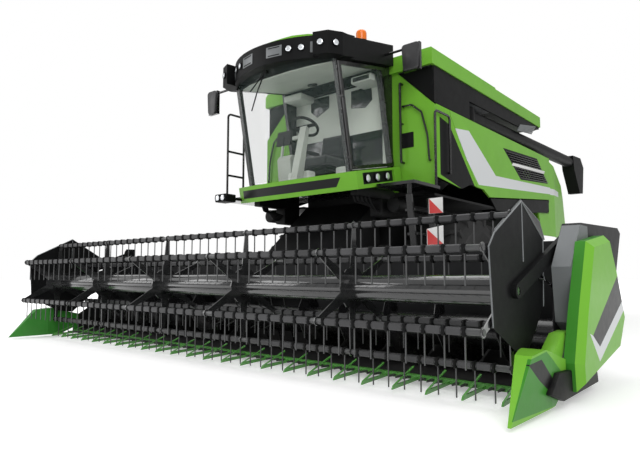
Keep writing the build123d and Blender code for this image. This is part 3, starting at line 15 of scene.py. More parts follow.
import bpy
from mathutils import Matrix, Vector

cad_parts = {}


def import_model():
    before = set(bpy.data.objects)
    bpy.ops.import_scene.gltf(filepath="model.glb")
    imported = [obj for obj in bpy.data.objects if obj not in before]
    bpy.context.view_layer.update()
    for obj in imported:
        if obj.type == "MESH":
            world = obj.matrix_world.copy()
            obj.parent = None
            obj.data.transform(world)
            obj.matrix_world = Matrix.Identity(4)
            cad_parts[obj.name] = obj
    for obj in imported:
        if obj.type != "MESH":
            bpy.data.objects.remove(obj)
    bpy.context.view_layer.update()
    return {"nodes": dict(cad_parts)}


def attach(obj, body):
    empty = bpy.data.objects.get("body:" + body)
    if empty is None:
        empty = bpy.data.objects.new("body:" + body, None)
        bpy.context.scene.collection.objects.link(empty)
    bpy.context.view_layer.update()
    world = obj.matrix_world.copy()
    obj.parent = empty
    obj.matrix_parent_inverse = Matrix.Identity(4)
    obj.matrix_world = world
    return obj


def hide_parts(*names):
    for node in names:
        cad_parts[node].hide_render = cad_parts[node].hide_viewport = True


LOG = logging.getLogger("combine")
Colour = tuple[float, float, float]
Point = tuple[float, float, float]
Flat = tuple[float, float]
Box = tuple[Point, Point, float, int]
Row = tuple[float, float, float, float]
Piece = bpy.types.Object
Place = Sequence[float]
Outline = tuple[Flat, ...]

HANDS = {1: "left", -1: "right"}
CAB_LEAN = math.radians(11.3)
CAB_FRONT = -3.25
CAB_SILL = 2.27


def cab_point(x: float, run: float, rise: float) -> Vector:
    """A point of the cab's leaning frame: across, rearward along its sill, and up its pillars."""
    return Vector((x, CAB_FRONT + run * math.cos(CAB_LEAN) - rise * math.sin(CAB_LEAN),
                   CAB_SILL + run * math.sin(CAB_LEAN) + rise * math.cos(CAB_LEAN)))


def _operator(operation: str, swapped: bool = False) -> Callable[[Socket, Socket | float], Socket]:
    """A Python operator of sockets that adds a Math node; a comparison gives one or nought.

    Args:
        operation: The Math node's operation.
        swapped: The second value comes first.

    Returns:
        The operator.
    """
    def apply(first: Socket, second: Socket | float) -> Socket:
        """Add the node for two values."""
        return first._math(operation, *((second, first) if swapped else (first, second)))
    return apply


class Socket:
    """A node output that takes part in Python arithmetic by adding Math nodes."""

    def __init__(self, shader: Shader, output: bpy.types.NodeSocket) -> None:
        """Keep the shader that owns the output."""
        self.shader = shader
        self.output = output

    def _math(self, operation: str, *values: Socket | float) -> Socket:
        """Add a Math node."""
        return self.shader.node("ShaderNodeMath", {"operation": operation}, dict(enumerate(values)))

    __add__ = __radd__ = _operator("ADD")
    __sub__ = _operator("SUBTRACT")
    __rsub__ = _operator("SUBTRACT", swapped=True)
    __mul__ = __rmul__ = _operator("MULTIPLY")
    __gt__ = _operator("GREATER_THAN")
    __lt__ = _operator("LESS_THAN")

    def size(self) -> Socket:
        """The value without its sign."""
        return self._math("ABSOLUTE", self)

    def clamped(self) -> Socket:
        """The value held between 0 and 1."""
        return self._math("MINIMUM", self._math("MAXIMUM", self, 0.0), 1.0)


@dataclass(frozen=True)
class Patch:
    """A painted area inside a convex outline.

    Attributes:
        outline: Its corners as (Y, Z), or as (across, rise) where it leans.
        colour: Its colour, linear.
        beyond: It lies only further out than this, or further forward where it leans.
        leaning: The outline is given in the cab's leaning frame.
        left_only: The patch is on the machine's left only.
    """

    outline: Outline
    colour: Colour
    beyond: float = 0.0
    leaning: bool = False
    left_only: bool = False


def rectangle(low: Flat, high: Flat) -> Outline:
    """The outline of a rectangle between two corners."""
    return low, (high[0], low[1]), high, (low[0], high[1])


class Shader:
    """A material in the making, with its Principled shader."""

    def __init__(self, name: str) -> None:
        """Start an empty node tree with one Principled shader.

        Args:
            name: The material's name.
        """
        self.material = bpy.data.materials.new(name)
        self.material.use_nodes = True
        self.tree = self.material.node_tree
        self.tree.nodes.clear()
        self.surface = self.tree.nodes.new("ShaderNodeBsdfPrincipled")
        output = self.tree.nodes.new("ShaderNodeOutputMaterial")
        self.tree.links.new(self.surface.outputs[0], output.inputs["Surface"])
        self.places: dict[str, Socket] = {}

    def node(self, kind: str, settings: dict | None = None, inputs: dict | None = None,
             output: int | str = 0) -> Socket:
        """Add any node.

        Args:
            kind: The node's type.
            settings: Properties set before the sockets; "stops" fills a colour ramp.
            inputs: Socket name or number to a value or a Socket.
            output: Which output is wanted.

        Returns:
            The wanted output.
        """
        node = self.tree.nodes.new(kind)
        for key, value in (settings or {}).items():
            if key == "stops":
                self._fill_ramp(node.color_ramp, value)
            else:
                setattr(node, key, value)
        for key, value in (inputs or {}).items():
            if isinstance(value, Socket):
                self.tree.links.new(value.output, node.inputs[key])
            else:
                node.inputs[key].default_value = value
        return Socket(self, node.outputs[output])

    @staticmethod
    def _fill_ramp(ramp: bpy.types.ColorRamp, stops: Sequence[tuple[float, Colour]]) -> None:
        """Give a colour ramp its stops.

        Args:
            ramp: The colour ramp.
            stops: The place and colour of each stop.
        """
        while len(ramp.elements) < len(stops):
            ramp.elements.new(0.5)
        for element, (place, colour) in zip(ramp.elements, stops):
            element.position = place
            element.color = (*colour, 1.0)

    def where(self, axis: str = "") -> Socket:
        """The point in the machine's frame, or one of its coordinates.

        Args:
            axis: "X", "Y" or "Z", or nothing for the point.

        Returns:
            The point or the coordinate.
        """
        if axis not in self.places:
            if axis:
                self.places[axis] = self.node("ShaderNodeSeparateXYZ", inputs={0: self.where()}, output=axis)
            else:
                self.places[axis] = self.node("ShaderNodeTexCoord", output="Object")
        return self.places[axis]

    def noise(self, scale: float, detail: float = 3.0, roughness: float = 0.55) -> Socket:
        """Soft noise over the machine's frame."""
        return self.node("ShaderNodeTexNoise", inputs={
            "Vector": self.where(), "Scale": scale, "Detail": detail, "Roughness": roughness})

    def mix(self, share: Socket | float, first: Socket | Colour, second: Socket | Colour) -> Socket:
        """Blend two colours."""
        first, second = (c if isinstance(c, Socket) else (*c, 1.0) for c in (first, second))
        return self.node("ShaderNodeMix", {"data_type": "RGBA"}, {0: share, 6: first, 7: second}, output=2)

    def ramp(self, value: Socket, *stops: tuple[float, Colour]) -> Socket:
        """A colour ramp over a value."""
        return self.node("ShaderNodeValToRGB", {"stops": stops}, {0: value})

    def inside(self, first: Socket, second: Socket, outline: Sequence[Flat]) -> Socket:
        """Whether two values lie inside a convex outline.

        Args:
            first: The value along the outline's first axis.
            second: The value along its second axis.
            outline: Its corners, either way round.

        Returns:
            One inside, else nought.
        """
        pairs = list(zip(outline, (*outline[1:], outline[0])))
        turn = math.copysign(1.0, sum(a[0] * b[1] - a[1] * b[0] for a, b in pairs))
        share: Socket | float = 1.0
        for a, b in pairs:
            across, up = turn * (a[1] - b[1]), turn * (b[0] - a[0])
            share = (first * across + second * up > across * a[0] + up * a[1]) * share
        return share

    def covered(self, patch: Patch) -> Socket:
        """Whether a patch lies at a point.

        Args:
            patch: The painted area.

        Returns:
            One where it lies, else nought.
        """
        if patch.leaning:
            sine, cosine = math.sin(CAB_LEAN), math.cos(CAB_LEAN)
            rise = self.where("Z") * cosine - self.where("Y") * sine - (CAB_SILL * cosine - CAB_FRONT * sine)
            share = self.inside(self.where("X"), rise, patch.outline) * (self.where("Y") < patch.beyond)
        else:
            share = self.inside(self.where("Y"), self.where("Z"), patch.outline)
            if patch.beyond:
                share = share * (self.where("X").size() > patch.beyond)
        if patch.left_only:
            share = share * (self.where("X") > 0.0)
        return share

    def set(self, name: str, value: Socket | float | Colour) -> None:
        """Set or link one input of the Principled shader.

        Args:
            name: The input's name.
            value: A socket to link, or a number or colour to set.
        """
        target = self.surface.inputs[name]
        if isinstance(value, Socket):
            self.tree.links.new(value.output, target)
        else:
            target.default_value = (*value, 1.0) if isinstance(value, tuple) else value

    def bump(self, height: Socket, distance: float, strength: float) -> None:
        """Feed a height into the shader's normal."""
        self.set("Normal", self.node("ShaderNodeBump", inputs={
            "Height": height, "Distance": distance, "Strength": strength}))


LIME: Colour = (0.172, 0.455, 0.036)
DEEP_BLACK: Colour = (0.0065, 0.0067, 0.007)
SILVER: Colour = (0.70, 0.72, 0.73)
DARK_GREEN: Colour = (0.045, 0.235, 0.022)
WORKS_GREEN: Colour = (0.085, 0.330, 0.050)
DUST: Colour = (0.20, 0.18, 0.15)

# Scale, detail and roughness of the noises that move the colour, the gloss and the dust.
COLOUR_NOISE = (2.3, 4.0)
GLOSS_NOISE = (11.0, 5.0, 0.6)
DUST_NOISE = (7.0, 6.0, 0.62)
GLOSS_SWING = 0.16
DUST_FALL = 0.5
DUST_START = 0.30
DUST_MOST = 0.22


@dataclass(frozen=True)
class Paint:
    """A painted or moulded surface.

    Attributes:
        colour: Its base colour, linear.
        rough: Its roughness.
        coat: Clear coat weight.
        metal: How metallic it is.
        spread: How far the colour drifts over the surface.
        grain: Scale of the fine surface texture, per metre.
        depth: Height of that texture in metres.
        gloss: Specular level of the surface under its coat.
        patches: Areas painted in other colours.
    """

    colour: Colour
    rough: float = 0.35
    coat: float = 0.0
    metal: float = 0.0
    spread: float = 0.12
    grain: float = 260.0
    depth: float = 0.00005
    gloss: float = 0.5
    patches: tuple[Patch, ...] = ()

    def make(self, name: str) -> bpy.types.Material:
        """Build the material: drifting colour, uneven gloss, dust low down, and a fine grain.

        Args:
            name: The material's name.

        Returns:
            The material.
        """
        shader = Shader(name)
        dark = tuple(c * (1 - self.spread) for c in self.colour)
        light = tuple(min(1.0, c * (1 + self.spread)) for c in self.colour)
        colour = shader.ramp(shader.noise(*COLOUR_NOISE), (0.3, dark), (0.7, light))
        for patch in self.patches:
            colour = shader.mix(shader.covered(patch), colour, patch.colour)
        dust = (shader.noise(*DUST_NOISE) - shader.where("Z") * DUST_FALL - DUST_START).clamped() * DUST_MOST
        shader.set("Base Color", shader.mix(dust, colour, DUST))
        smear = shader.noise(*GLOSS_NOISE) * GLOSS_SWING
        shader.set("Roughness", (smear + (self.rough - GLOSS_SWING / 2)).clamped())
        shader.set("Metallic", self.metal)
        shader.set("Specular IOR Level", self.gloss)
        shader.set("Coat Weight", self.coat)
        shader.set("Coat Roughness", 0.06)
        shader.bump(shader.noise(self.grain, 2.0), self.depth, 0.5)
        return shader.material


@dataclass(frozen=True)
class Glass:
    """Clear cab glass with a light green tint."""

    tint: Colour = (0.16, 0.22, 0.20)
    alpha: float = 0.07

    def make(self, name: str) -> bpy.types.Material:
        """Build the material: a thin see-through skin that keeps its reflections.

        Args:
            name: The material's name.

        Returns:
            The material.
        """
        shader = Shader(name)
        shader.set("Base Color", self.tint)
        shader.set("Roughness", (shader.noise(6.0) * 0.05).clamped())
        shader.set("Alpha", self.alpha)
        shader.set("Coat Weight", 0.15)
        shader.set("Coat Roughness", 0.02)
        return shader.material


@dataclass(frozen=True)
class Cloth:
    """Woven seat cloth."""

    colour: Colour = (0.022, 0.024, 0.026)
    threads: float = 700.0

    def make(self, name: str) -> bpy.types.Material:
        """Build the material: crossing threads in colour and height, with a soft sheen.

        Args:
            name: The material's name.

        Returns:
            The material.
        """
        shader = Shader(name)
        inputs = {"Vector": shader.where(), "Scale": self.threads, "Distortion": 0.4}
        weave, cross = (shader.node("ShaderNodeTexWave", {"bands_direction": way}, inputs, output="Fac")
                        for way in "XZ")
        height = weave * cross
        light = tuple(2.2 * c for c in self.colour)
        shader.set("Base Color", shader.mix(height.clamped(), self.colour, light))
        shader.set("Roughness", 0.85)
        shader.set("Sheen Weight", 0.4)
        shader.bump(height, 0.0006, 0.7)
        return shader.material


STRIPE = (
    Patch(((-1.74, 3.02), (-1.19, 3.085), (-0.22, 2.54), (-0.88, 2.31)), SILVER, beyond=1.2),
    Patch(((-0.88, 2.31), (-0.22, 2.54), (3.60, 2.73), (3.60, 2.62)), SILVER, beyond=1.2),
)
INSERT = Patch(((-2.10, 3.10), (-1.82, 3.05), (-1.02, 2.265), (-1.42, 2.17), (-2.10, 2.30)), DEEP_BLACK)
FIXED_CORNER = Patch(((-2.30, 3.27), (-1.70, 3.27), (-0.85, 2.15), (-2.30, 2.15)), LIME, beyond=1.594)
POCKET = Patch(tuple(tuple(cab_point(0.0, run, rise)[1:]) for run, rise in rectangle(
    (0.07, -0.20), (0.79, -0.055))), DEEP_BLACK, beyond=1.03)
BAND = Patch(((-0.90, -0.19), (0.84, -0.19), (0.90, -0.075), (-0.90, -0.075)), DEEP_BLACK, beyond=-3.2,
             leaning=True)
CHEVRON = (
    Patch(((-3.091, 1.008), (-2.888, 0.784), (-3.917, 0.381), (-4.111, 0.484)), DEEP_BLACK, beyond=3.88),
    Patch(((-4.193, 0.506), (-4.111, 0.484), (-3.917, 0.381), (-3.936, 0.266)), SILVER, beyond=3.88),
    Patch(((-3.936, 0.266), (-3.917, 0.381), (-2.888, 0.784), (-2.830, 0.700)), SILVER, beyond=3.88),
)
COVER_FACE = Patch(rectangle((-5.0, 0.0), (-2.5, 1.6)), LIME, beyond=3.864)
# Only the left divider gets its lime. The darker green base that the right divider keeps is painted shade.
DIVIDER = (
    Patch(rectangle((-5.6, 0.0), (-4.0, 0.6)), LIME, left_only=True),
    Patch(((-5.146, 0.397), (-4.832, 0.428), (-4.409, 0.18), (-4.659, 0.043), (-5.494, 0.064)),
          DARK_GREEN, beyond=3.76, left_only=True),
    Patch(((-5.13, 0.37), (-4.918, 0.384), (-4.726, 0.225), (-4.818, 0.164), (-4.971, 0.253)),
          DEEP_BLACK, beyond=3.76, left_only=True),
)
GUARDS = Patch(rectangle((-4.70, 0.0), (-4.503, 0.2)), (0.05, 0.05, 0.052))
DRIVE_PLATE = Patch(rectangle((-4.20, 0.40), (-3.60, 1.372)), (0.170, 0.180, 0.185), beyond=3.636,
                    left_only=True)
STEERING_WHEEL = Patch(((-3.24, 3.12), (-3.22, 3.16), (-2.86, 2.96), (-2.88, 2.92)), DEEP_BLACK)
MONITOR = Patch(rectangle((-2.96, 2.86), (-2.86, 3.11)), DEEP_BLACK)


def body_sheet(*patches: Patch, colour: Colour = LIME, spread: float = 0.05) -> Paint:
    """The paint of the machine's coloured sheets."""
    return Paint(colour, 0.40, coat=0.05, spread=spread, gloss=0.18, patches=patches)


def moulding(*patches: Patch) -> Paint:
    """The dull black of the moulded panels."""
    return Paint(DEEP_BLACK, 0.5, spread=0.2, grain=400, depth=0.0001, gloss=0.10, patches=patches)


@dataclass(frozen=True)
class Coating:
    """A named finish.

    Attributes:
        title: What it is. Its material is named after it.
        recipe: The paint, glass or cloth that makes its material.
        nodes: The CAD nodes that wear it, by their names or by what their names start with.
        slot: The record's material slot of the pieces that are added in it.
    """

    title: str
    recipe: Paint | Glass | Cloth
    nodes: str = ""
    slot: str = ""


class Finish(Enum):
    """The finishes of the machine's surfaces."""

    GREEN = Coating("lime green paint", body_sheet(), "front_wall upper_band cab_roof tank_lid",
                    "green_panel")
    GREEN_SIDE = Coating("lime green side with its stripe", body_sheet(*STRIPE, INSERT),
                         "rear_hood side_panel")
    GREEN_APRON = Coating("lime green apron with its black band", body_sheet(BAND, POCKET), "cab_apron")
    GREEN_COVER = Coating("lime green drive cover with its chevron",
                          body_sheet(COVER_FACE, *CHEVRON, colour=DARK_GREEN), "header_drive_cover")
    # The darker green base colour, which stays on the right divider, is painted shade. The left divider's
    # lime patch is its own colour.
    GREEN_DIVIDER = Coating("green crop divider",
                            body_sheet(*DIVIDER, colour=(0.040, 0.240, 0.030), spread=0.08),
                            "header_dividers")
    REEL = Coating("glossy reel tube", Paint((0.016, 0.0165, 0.017), 0.20, coat=0.9, spread=0.1, depth=0.0),
                   "reel_core", "black_steel")
    GREEN_WORKS = Coating("green paint in the header's works",
                          Paint(WORKS_GREEN, 0.36, coat=0.4, spread=0.10), "crop_lifters")
    CUTTER = Coating("green bar with dark guards",
                     Paint(WORKS_GREEN, 0.40, coat=0.2, spread=0.15, patches=(GUARDS,)), "cutterbar")
    BLACK_SIDE = Coating("black side frame with its green corner", moulding(FIXED_CORNER, INSERT),
                         "side_frame")
    BLACK_PANEL = Coating("black moulded panel", moulding(),
                          "upper_cowling cab_visor reel_arms unloading_auger side_grille", "black_panel")
    BLACK_PAINT = Coating("glossy black paint",
                          Paint((0.006, 0.006, 0.0065), 0.26, coat=0.25, spread=0.2, gloss=0.4),
                          "cab_shell cab_door rails_and_mirrors ladder header_auger reel_barrels "
                          "lift_barrels", "black_steel")
    FRAME = Coating("dark chassis paint",
                    Paint((0.0085, 0.0087, 0.009), 0.55, spread=0.35, grain=300, gloss=0.2),
                    "chassis_frame front_axle rear_axle threshing_housing engine_block straw_chopper "
                    "feederhouse steering_knuckle", "dark_steel")
    HEADER = Coating("dark header sheet with its grey plate", Paint(
        (0.008, 0.0083, 0.009), 0.50, spread=0.30, grain=300, gloss=0.2, patches=(DRIVE_PLATE,)),
                     "header_frame")
    GREY = Coating("grey painted sheet", Paint((0.155, 0.165, 0.170), 0.40, spread=0.12), "grain_tank",
                   "dark_steel")
    STEEL = Coating("worn bright steel", Paint((0.42, 0.42, 0.43), 0.32, metal=1.0, spread=0.25),
                    slot="knife_steel")
    RUBBER = Coating("tyre rubber",
                     Paint((0.012, 0.012, 0.012), 0.75, spread=0.3, grain=300, depth=0.0003, gloss=0.3),
                     "tyre")
    RIM = Coating("pale rim paint", Paint((0.50, 0.50, 0.48), 0.35, coat=0.3, spread=0.06), "rim")
    GLASS = Coating("tinted cab glass", Glass(), "cab_glass cab_door_glass")
    LENS = Coating("clear lamp lens", Paint((0.72, 0.75, 0.78), 0.10, metal=0.55, coat=1.0, spread=0.1))
    BEACON = Coating("orange beacon lens", Paint((0.82, 0.17, 0.006), 0.16, coat=0.3, spread=0.08, gloss=0.3),
                     "beacons", "lens_orange")
    CHROME = Coating("hard chrome", Paint((0.75, 0.75, 0.76), 0.12, metal=1.0, spread=0.05),
                     "reel_rods lift_rods")
    CLOTH = Coating("seat cloth", Cloth(), "operator_seat", "seat_cloth")
    CABIN = Coating("pale cab lining", Paint((0.72, 0.77, 0.70), 0.6, spread=0.08, grain=1800, depth=0.0002),
                    slot="console_plastic")
    CONSOLE = Coating("pale console with its dark wheel", Paint(
        (0.52, 0.56, 0.50), 0.55, spread=0.08, patches=(STEERING_WHEEL, MONITOR)), "steering_console")
    RED = Coating("red board", Paint((0.62, 0.015, 0.015), 0.4, spread=0.06), slot="green_panel")
    WHITE = Coating("white board", Paint((0.78, 0.78, 0.77), 0.4, spread=0.04), slot="rim_paint")
    SCREEN = Coating("dark screen", Paint((0.010, 0.014, 0.016), 0.20, coat=0.6, spread=0.3),
                     slot="black_panel")
    MIRROR = Coating("mirror glass", Paint((0.85, 0.87, 0.88), 0.04, metal=1.0, spread=0.02), slot="window")
    TINE = Coating("tine plastic", Paint((0.060, 0.061, 0.062), 0.38, spread=0.25), "tine_bar")
    SLEEVE = Coating("reel bar sleeve", Paint((0.040, 0.040, 0.042), 0.36, spread=0.45, gloss=0.4),
                     slot="black_panel")


NODE_FINISH = {name: finish for finish in Finish for name in finish.value.nodes.split()}


def finish_of(node: str) -> Finish:
    """The finish of a CAD node: that of the longest listed name that its own name starts with."""
    return NODE_FINISH[max((name for name in NODE_FINISH if node.startswith(name)), key=len)]


class Palette:
    """Makes each finish once and gives it to pieces."""

    def __init__(self) -> None:
        """Start with no material made."""
        self.made: dict[Finish, bpy.types.Material] = {}

    def get(self, finish: Finish) -> bpy.types.Material:
        """The material of a finish, made at its first use.

        Args:
            finish: The finish.

        Returns:
            Its material.
        """
        if finish not in self.made:
            name = finish.value.title.replace(" ", "_").replace("'", "")
            self.made[finish] = finish.value.recipe.make(name)
        return self.made[finish]

    def dress(self, piece: Piece, finish: Finish, second: Finish | None = None,
              test: Callable[[Vector], bool] | None = None) -> None:
        """Give a piece its material.

        Args:
            piece: The mesh object.
            finish: Its main finish.
            second: The finish of the faces that pass the test.
            test: Takes a face's centre.
        """
        piece.data.materials.clear()
        piece.data.materials.append(self.get(finish))
        if second is not None and test is not None:
            piece.data.materials.append(self.get(second))
            for face in piece.data.polygons:
                if test(face.center):
                    face.material_index = 1


class Bench:
    """The modelling moves that the pieces share, each done with Blender's operators."""

    EDGE_ANGLE = math.radians(28)
    LAMP_SIDES = 28
    # Each ring of a lamp's face as shares of its radius: how far in, and how far out along its axis.
    LAMP_RINGS = ((0.14, -0.10), (0.10, 0.06), (0.22, 0.07), (0.25, 0.03))
    BEND = 0.22

    @staticmethod
    def clear() -> None:
        """Deselect everything."""
        bpy.ops.object.select_all(action="DESELECT")

    @classmethod
    def take(cls, *pieces: Piece) -> None:
        """Select these pieces alone, with the first one active.

        Args:
            pieces: The pieces.
        """
        cls.clear()
        for piece in pieces:
            piece.select_set(True)
        bpy.context.view_layer.objects.active = pieces[0]

    @classmethod
    def settle(cls, piece: Piece, bevel: float = 0.0, segments: int = 2, angle: float = 35.0) -> Piece:
        """Put a piece's origin at the frame's and round its edges.

        Args:
            piece: The mesh object.
            bevel: Width of its rounded edges in metres, or nought.
            segments: Facets across a rounded edge.
            angle: Faces that meet at less than this many degrees shade smoothly.

        Returns:
            The same piece.
        """
        cls.take(piece)
        bpy.ops.object.transform_apply(location=True, rotation=True, scale=True)
        if bevel:
            edges = piece.modifiers.new("edges", "BEVEL")
            edges.width = bevel
            edges.segments = segments
            edges.limit_method = "ANGLE"
            edges.angle_limit = cls.EDGE_ANGLE
            bpy.ops.object.modifier_apply(modifier=edges.name)
        bpy.ops.object.shade_smooth_by_angle(angle=math.radians(angle))
        return piece

    @classmethod
    def block(cls, low: Place, high: Place, bevel: float = 0.005, segments: int = 2) -> Piece:
        """A box with rounded edges between two corners.

        Args:
            low: One corner.
            high: The opposite corner.
            bevel: Width of its rounded edges.
            segments: Facets across a rounded edge.

        Returns:
            The box.
        """
        cls.clear()
        bpy.ops.mesh.primitive_cube_add(size=1.0, location=(Vector(low) + Vector(high)) / 2)
        piece = bpy.context.object
        piece.scale = [abs(size) for size in Vector(high) - Vector(low)]
        return cls.settle(piece, bevel, segments)

    @classmethod
    def plate(cls, outline: Sequence[Place], depth: Place, bevel: float = 0.003) -> Piece:
        """A flat plate: an outline extruded by a vector.

        Args:
            outline: Its corners in order, in one plane.
            depth: From one face to the other.
            bevel: Width of its rounded edges.

        Returns:
            The plate.
        """
        cls.clear()
        bpy.ops.mesh.primitive_circle_add(vertices=len(outline), radius=1.0, fill_type="NGON")
        piece = bpy.context.object
        for vertex, place in zip(piece.data.vertices, outline):
            vertex.co = place
        bpy.ops.object.mode_set(mode="EDIT")
        bpy.ops.mesh.select_all(action="SELECT")
        bpy.ops.mesh.extrude_region_move(TRANSFORM_OT_translate={"value": tuple(depth)})
        bpy.ops.mesh.select_all(action="SELECT")
        bpy.ops.mesh.normals_make_consistent(inside=False)
        bpy.ops.object.mode_set(mode="OBJECT")
        return cls.settle(piece, bevel)

    @classmethod
    def side_plate(cls, x: float, outline: Sequence[Flat], depth: float, bevel: float = 0.003) -> Piece:
        """An upright plate that faces the machine's side, from its outline as (Y, Z)."""
        return cls.plate([(x, y, z) for y, z in outline], (depth, 0, 0), bevel)

    @classmethod
    def _cylinder(cls, start: Place, end: Place, radius: float, sides: int) -> Piece:
        """A bare cylinder between two points.

        Args:
            start: The middle of one end.
            end: The middle of the other.
            radius: Its radius.
            sides: How many sides it has.

        Returns:
            The cylinder, not yet settled.
        """
        a, b = Vector(start), Vector(end)
        cls.clear()
        bpy.ops.mesh.primitive_cylinder_add(
            vertices=sides, radius=radius, depth=(b - a).length, location=(a + b) / 2,
            rotation=(b - a).to_track_quat("Z", "Y").to_euler())
        return bpy.context.object

    @classmethod
    def rod(cls, start: Place, end: Place, radius: float, sides: int = 16, bevel: float = 0.002) -> Piece:
        """A round or many-sided bar between two points."""
        return cls.settle(cls._cylinder(start, end, radius, sides), bevel)

    @classmethod
    def pipe(cls, points: Sequence[Place], radius: float, bend: bool = True) -> Piece:
        """A round rail or pipe along points.

        Args:
            points: The points along its middle.
            radius: Its radius.
            bend: Its bends are soft.

        Returns:
            The pipe.
        """
        cls.clear()
        bpy.ops.curve.primitive_bezier_curve_add()
        curve = bpy.context.object.data
        curve.splines.clear()
        spline = curve.splines.new("NURBS" if bend else "POLY")
        path = [Vector(p) for p in points]
        if bend:
            path = [path[0]] + [q for a, b, c in zip(path, path[1:], path[2:])
                                for q in (b.lerp(a, cls.BEND), b, b.lerp(c, cls.BEND))] + [path[-1]]
        spline.points.add(len(path) - 1)
        for point, place in zip(spline.points, path):
            point.co = (*place, 1.0)
        if bend:
            spline.order_u = 3
            spline.use_endpoint_u = True
            spline.resolution_u = 3
        curve.dimensions = "3D"
        curve.bevel_depth = radius
        curve.bevel_resolution = 2
        curve.use_fill_caps = True
        bpy.ops.object.convert(target="MESH")
        return cls.settle(bpy.context.object)

    @classmethod
    def lamp(cls, centre: Place, out: Place, radius: float, depth: float) -> Piece:
        """A round lamp: a bezel, a step inside it and a domed lens.

        Args:
            centre: The middle of its back.
            out: The way that it faces.
            radius: Its radius.
            depth: From its back to its bezel.

        Returns:
            The lamp.
        """
        axis = Vector(out).normalized()
        piece = cls._cylinder(centre, Vector(centre) + axis * depth, radius, cls.LAMP_SIDES)
        bpy.ops.object.transform_apply(location=True, rotation=True, scale=True)
        bpy.ops.object.mode_set(mode="EDIT")
        bpy.ops.mesh.select_mode(type="FACE")
        bpy.ops.mesh.select_all(action="DESELECT")
        bpy.ops.object.mode_set(mode="OBJECT")
        for face in piece.data.polygons:
            face.select = face.normal.dot(axis) > 0.9
        bpy.ops.object.mode_set(mode="EDIT")
        for inset, push in cls.LAMP_RINGS:
            bpy.ops.mesh.inset(thickness=inset * radius)
            bpy.ops.transform.translate(value=tuple(axis * push * radius))
        bpy.ops.object.mode_set(mode="OBJECT")
        return cls.settle(piece, angle=50)

    @classmethod
    def copies(cls, piece: Piece, steps: Sequence[Place]) -> Piece:
        """Copies of a modelled piece, each with its own mesh, joined into one piece with the first.

        Args:
            piece: The piece.
            steps: How far each copy is moved from it.

        Returns:
            The joined piece.
        """
        twins = []
        for step in steps:
            twin = piece.copy()
            twin.data = piece.data.copy()
            for vertex in twin.data.vertices:
                vertex.co += Vector(step)
            bpy.context.collection.objects.link(twin)
            twins.append(twin)
        cls.take(piece, *twins)
        bpy.ops.object.join()
        return piece

    @classmethod
    def joined(cls, name: str, pieces: Sequence[Piece]) -> Piece:
        """Several bits of one finish as one named piece.

        Args:
            name: The piece's name.
            pieces: Its bits, one or more.

        Returns:
            The piece.
        """
        cls.take(*pieces)
        if len(pieces) > 1:
            bpy.ops.object.join()
        pieces[0].name = name
        pieces[0].data.name = name
        return pieces[0]


@dataclass
class Assembly:
    """What all sub-assemblies share: the palette, and how a piece is handed over."""

    palette: Palette

    def add(self, name: str, bits: Sequence[Piece], finish: Finish, body: str = "machine", slot: str = "",
            second: Finish | None = None, test: Callable[[Vector], bool] | None = None) -> Piece:
        """Join a piece's bits, dress it and let it ride on a body.

        Args:
            name: The piece's name.
            bits: What it is made of.
            finish: Its finish.
            body: The body that it rides on.
            slot: Not used; meant as the record's material slot, where it isn't the finish's usual one.
            second: The finish of the faces that pass the test.
            test: Takes a face's centre.

        Returns:
            The piece.
        """
        piece = Bench.joined(name, bits)
        self.palette.dress(piece, finish, second, test)
        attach(piece, body)
        LOG.info("%s: %d faces, rides on %s", piece.name, len(piece.data.polygons), body)
        return piece


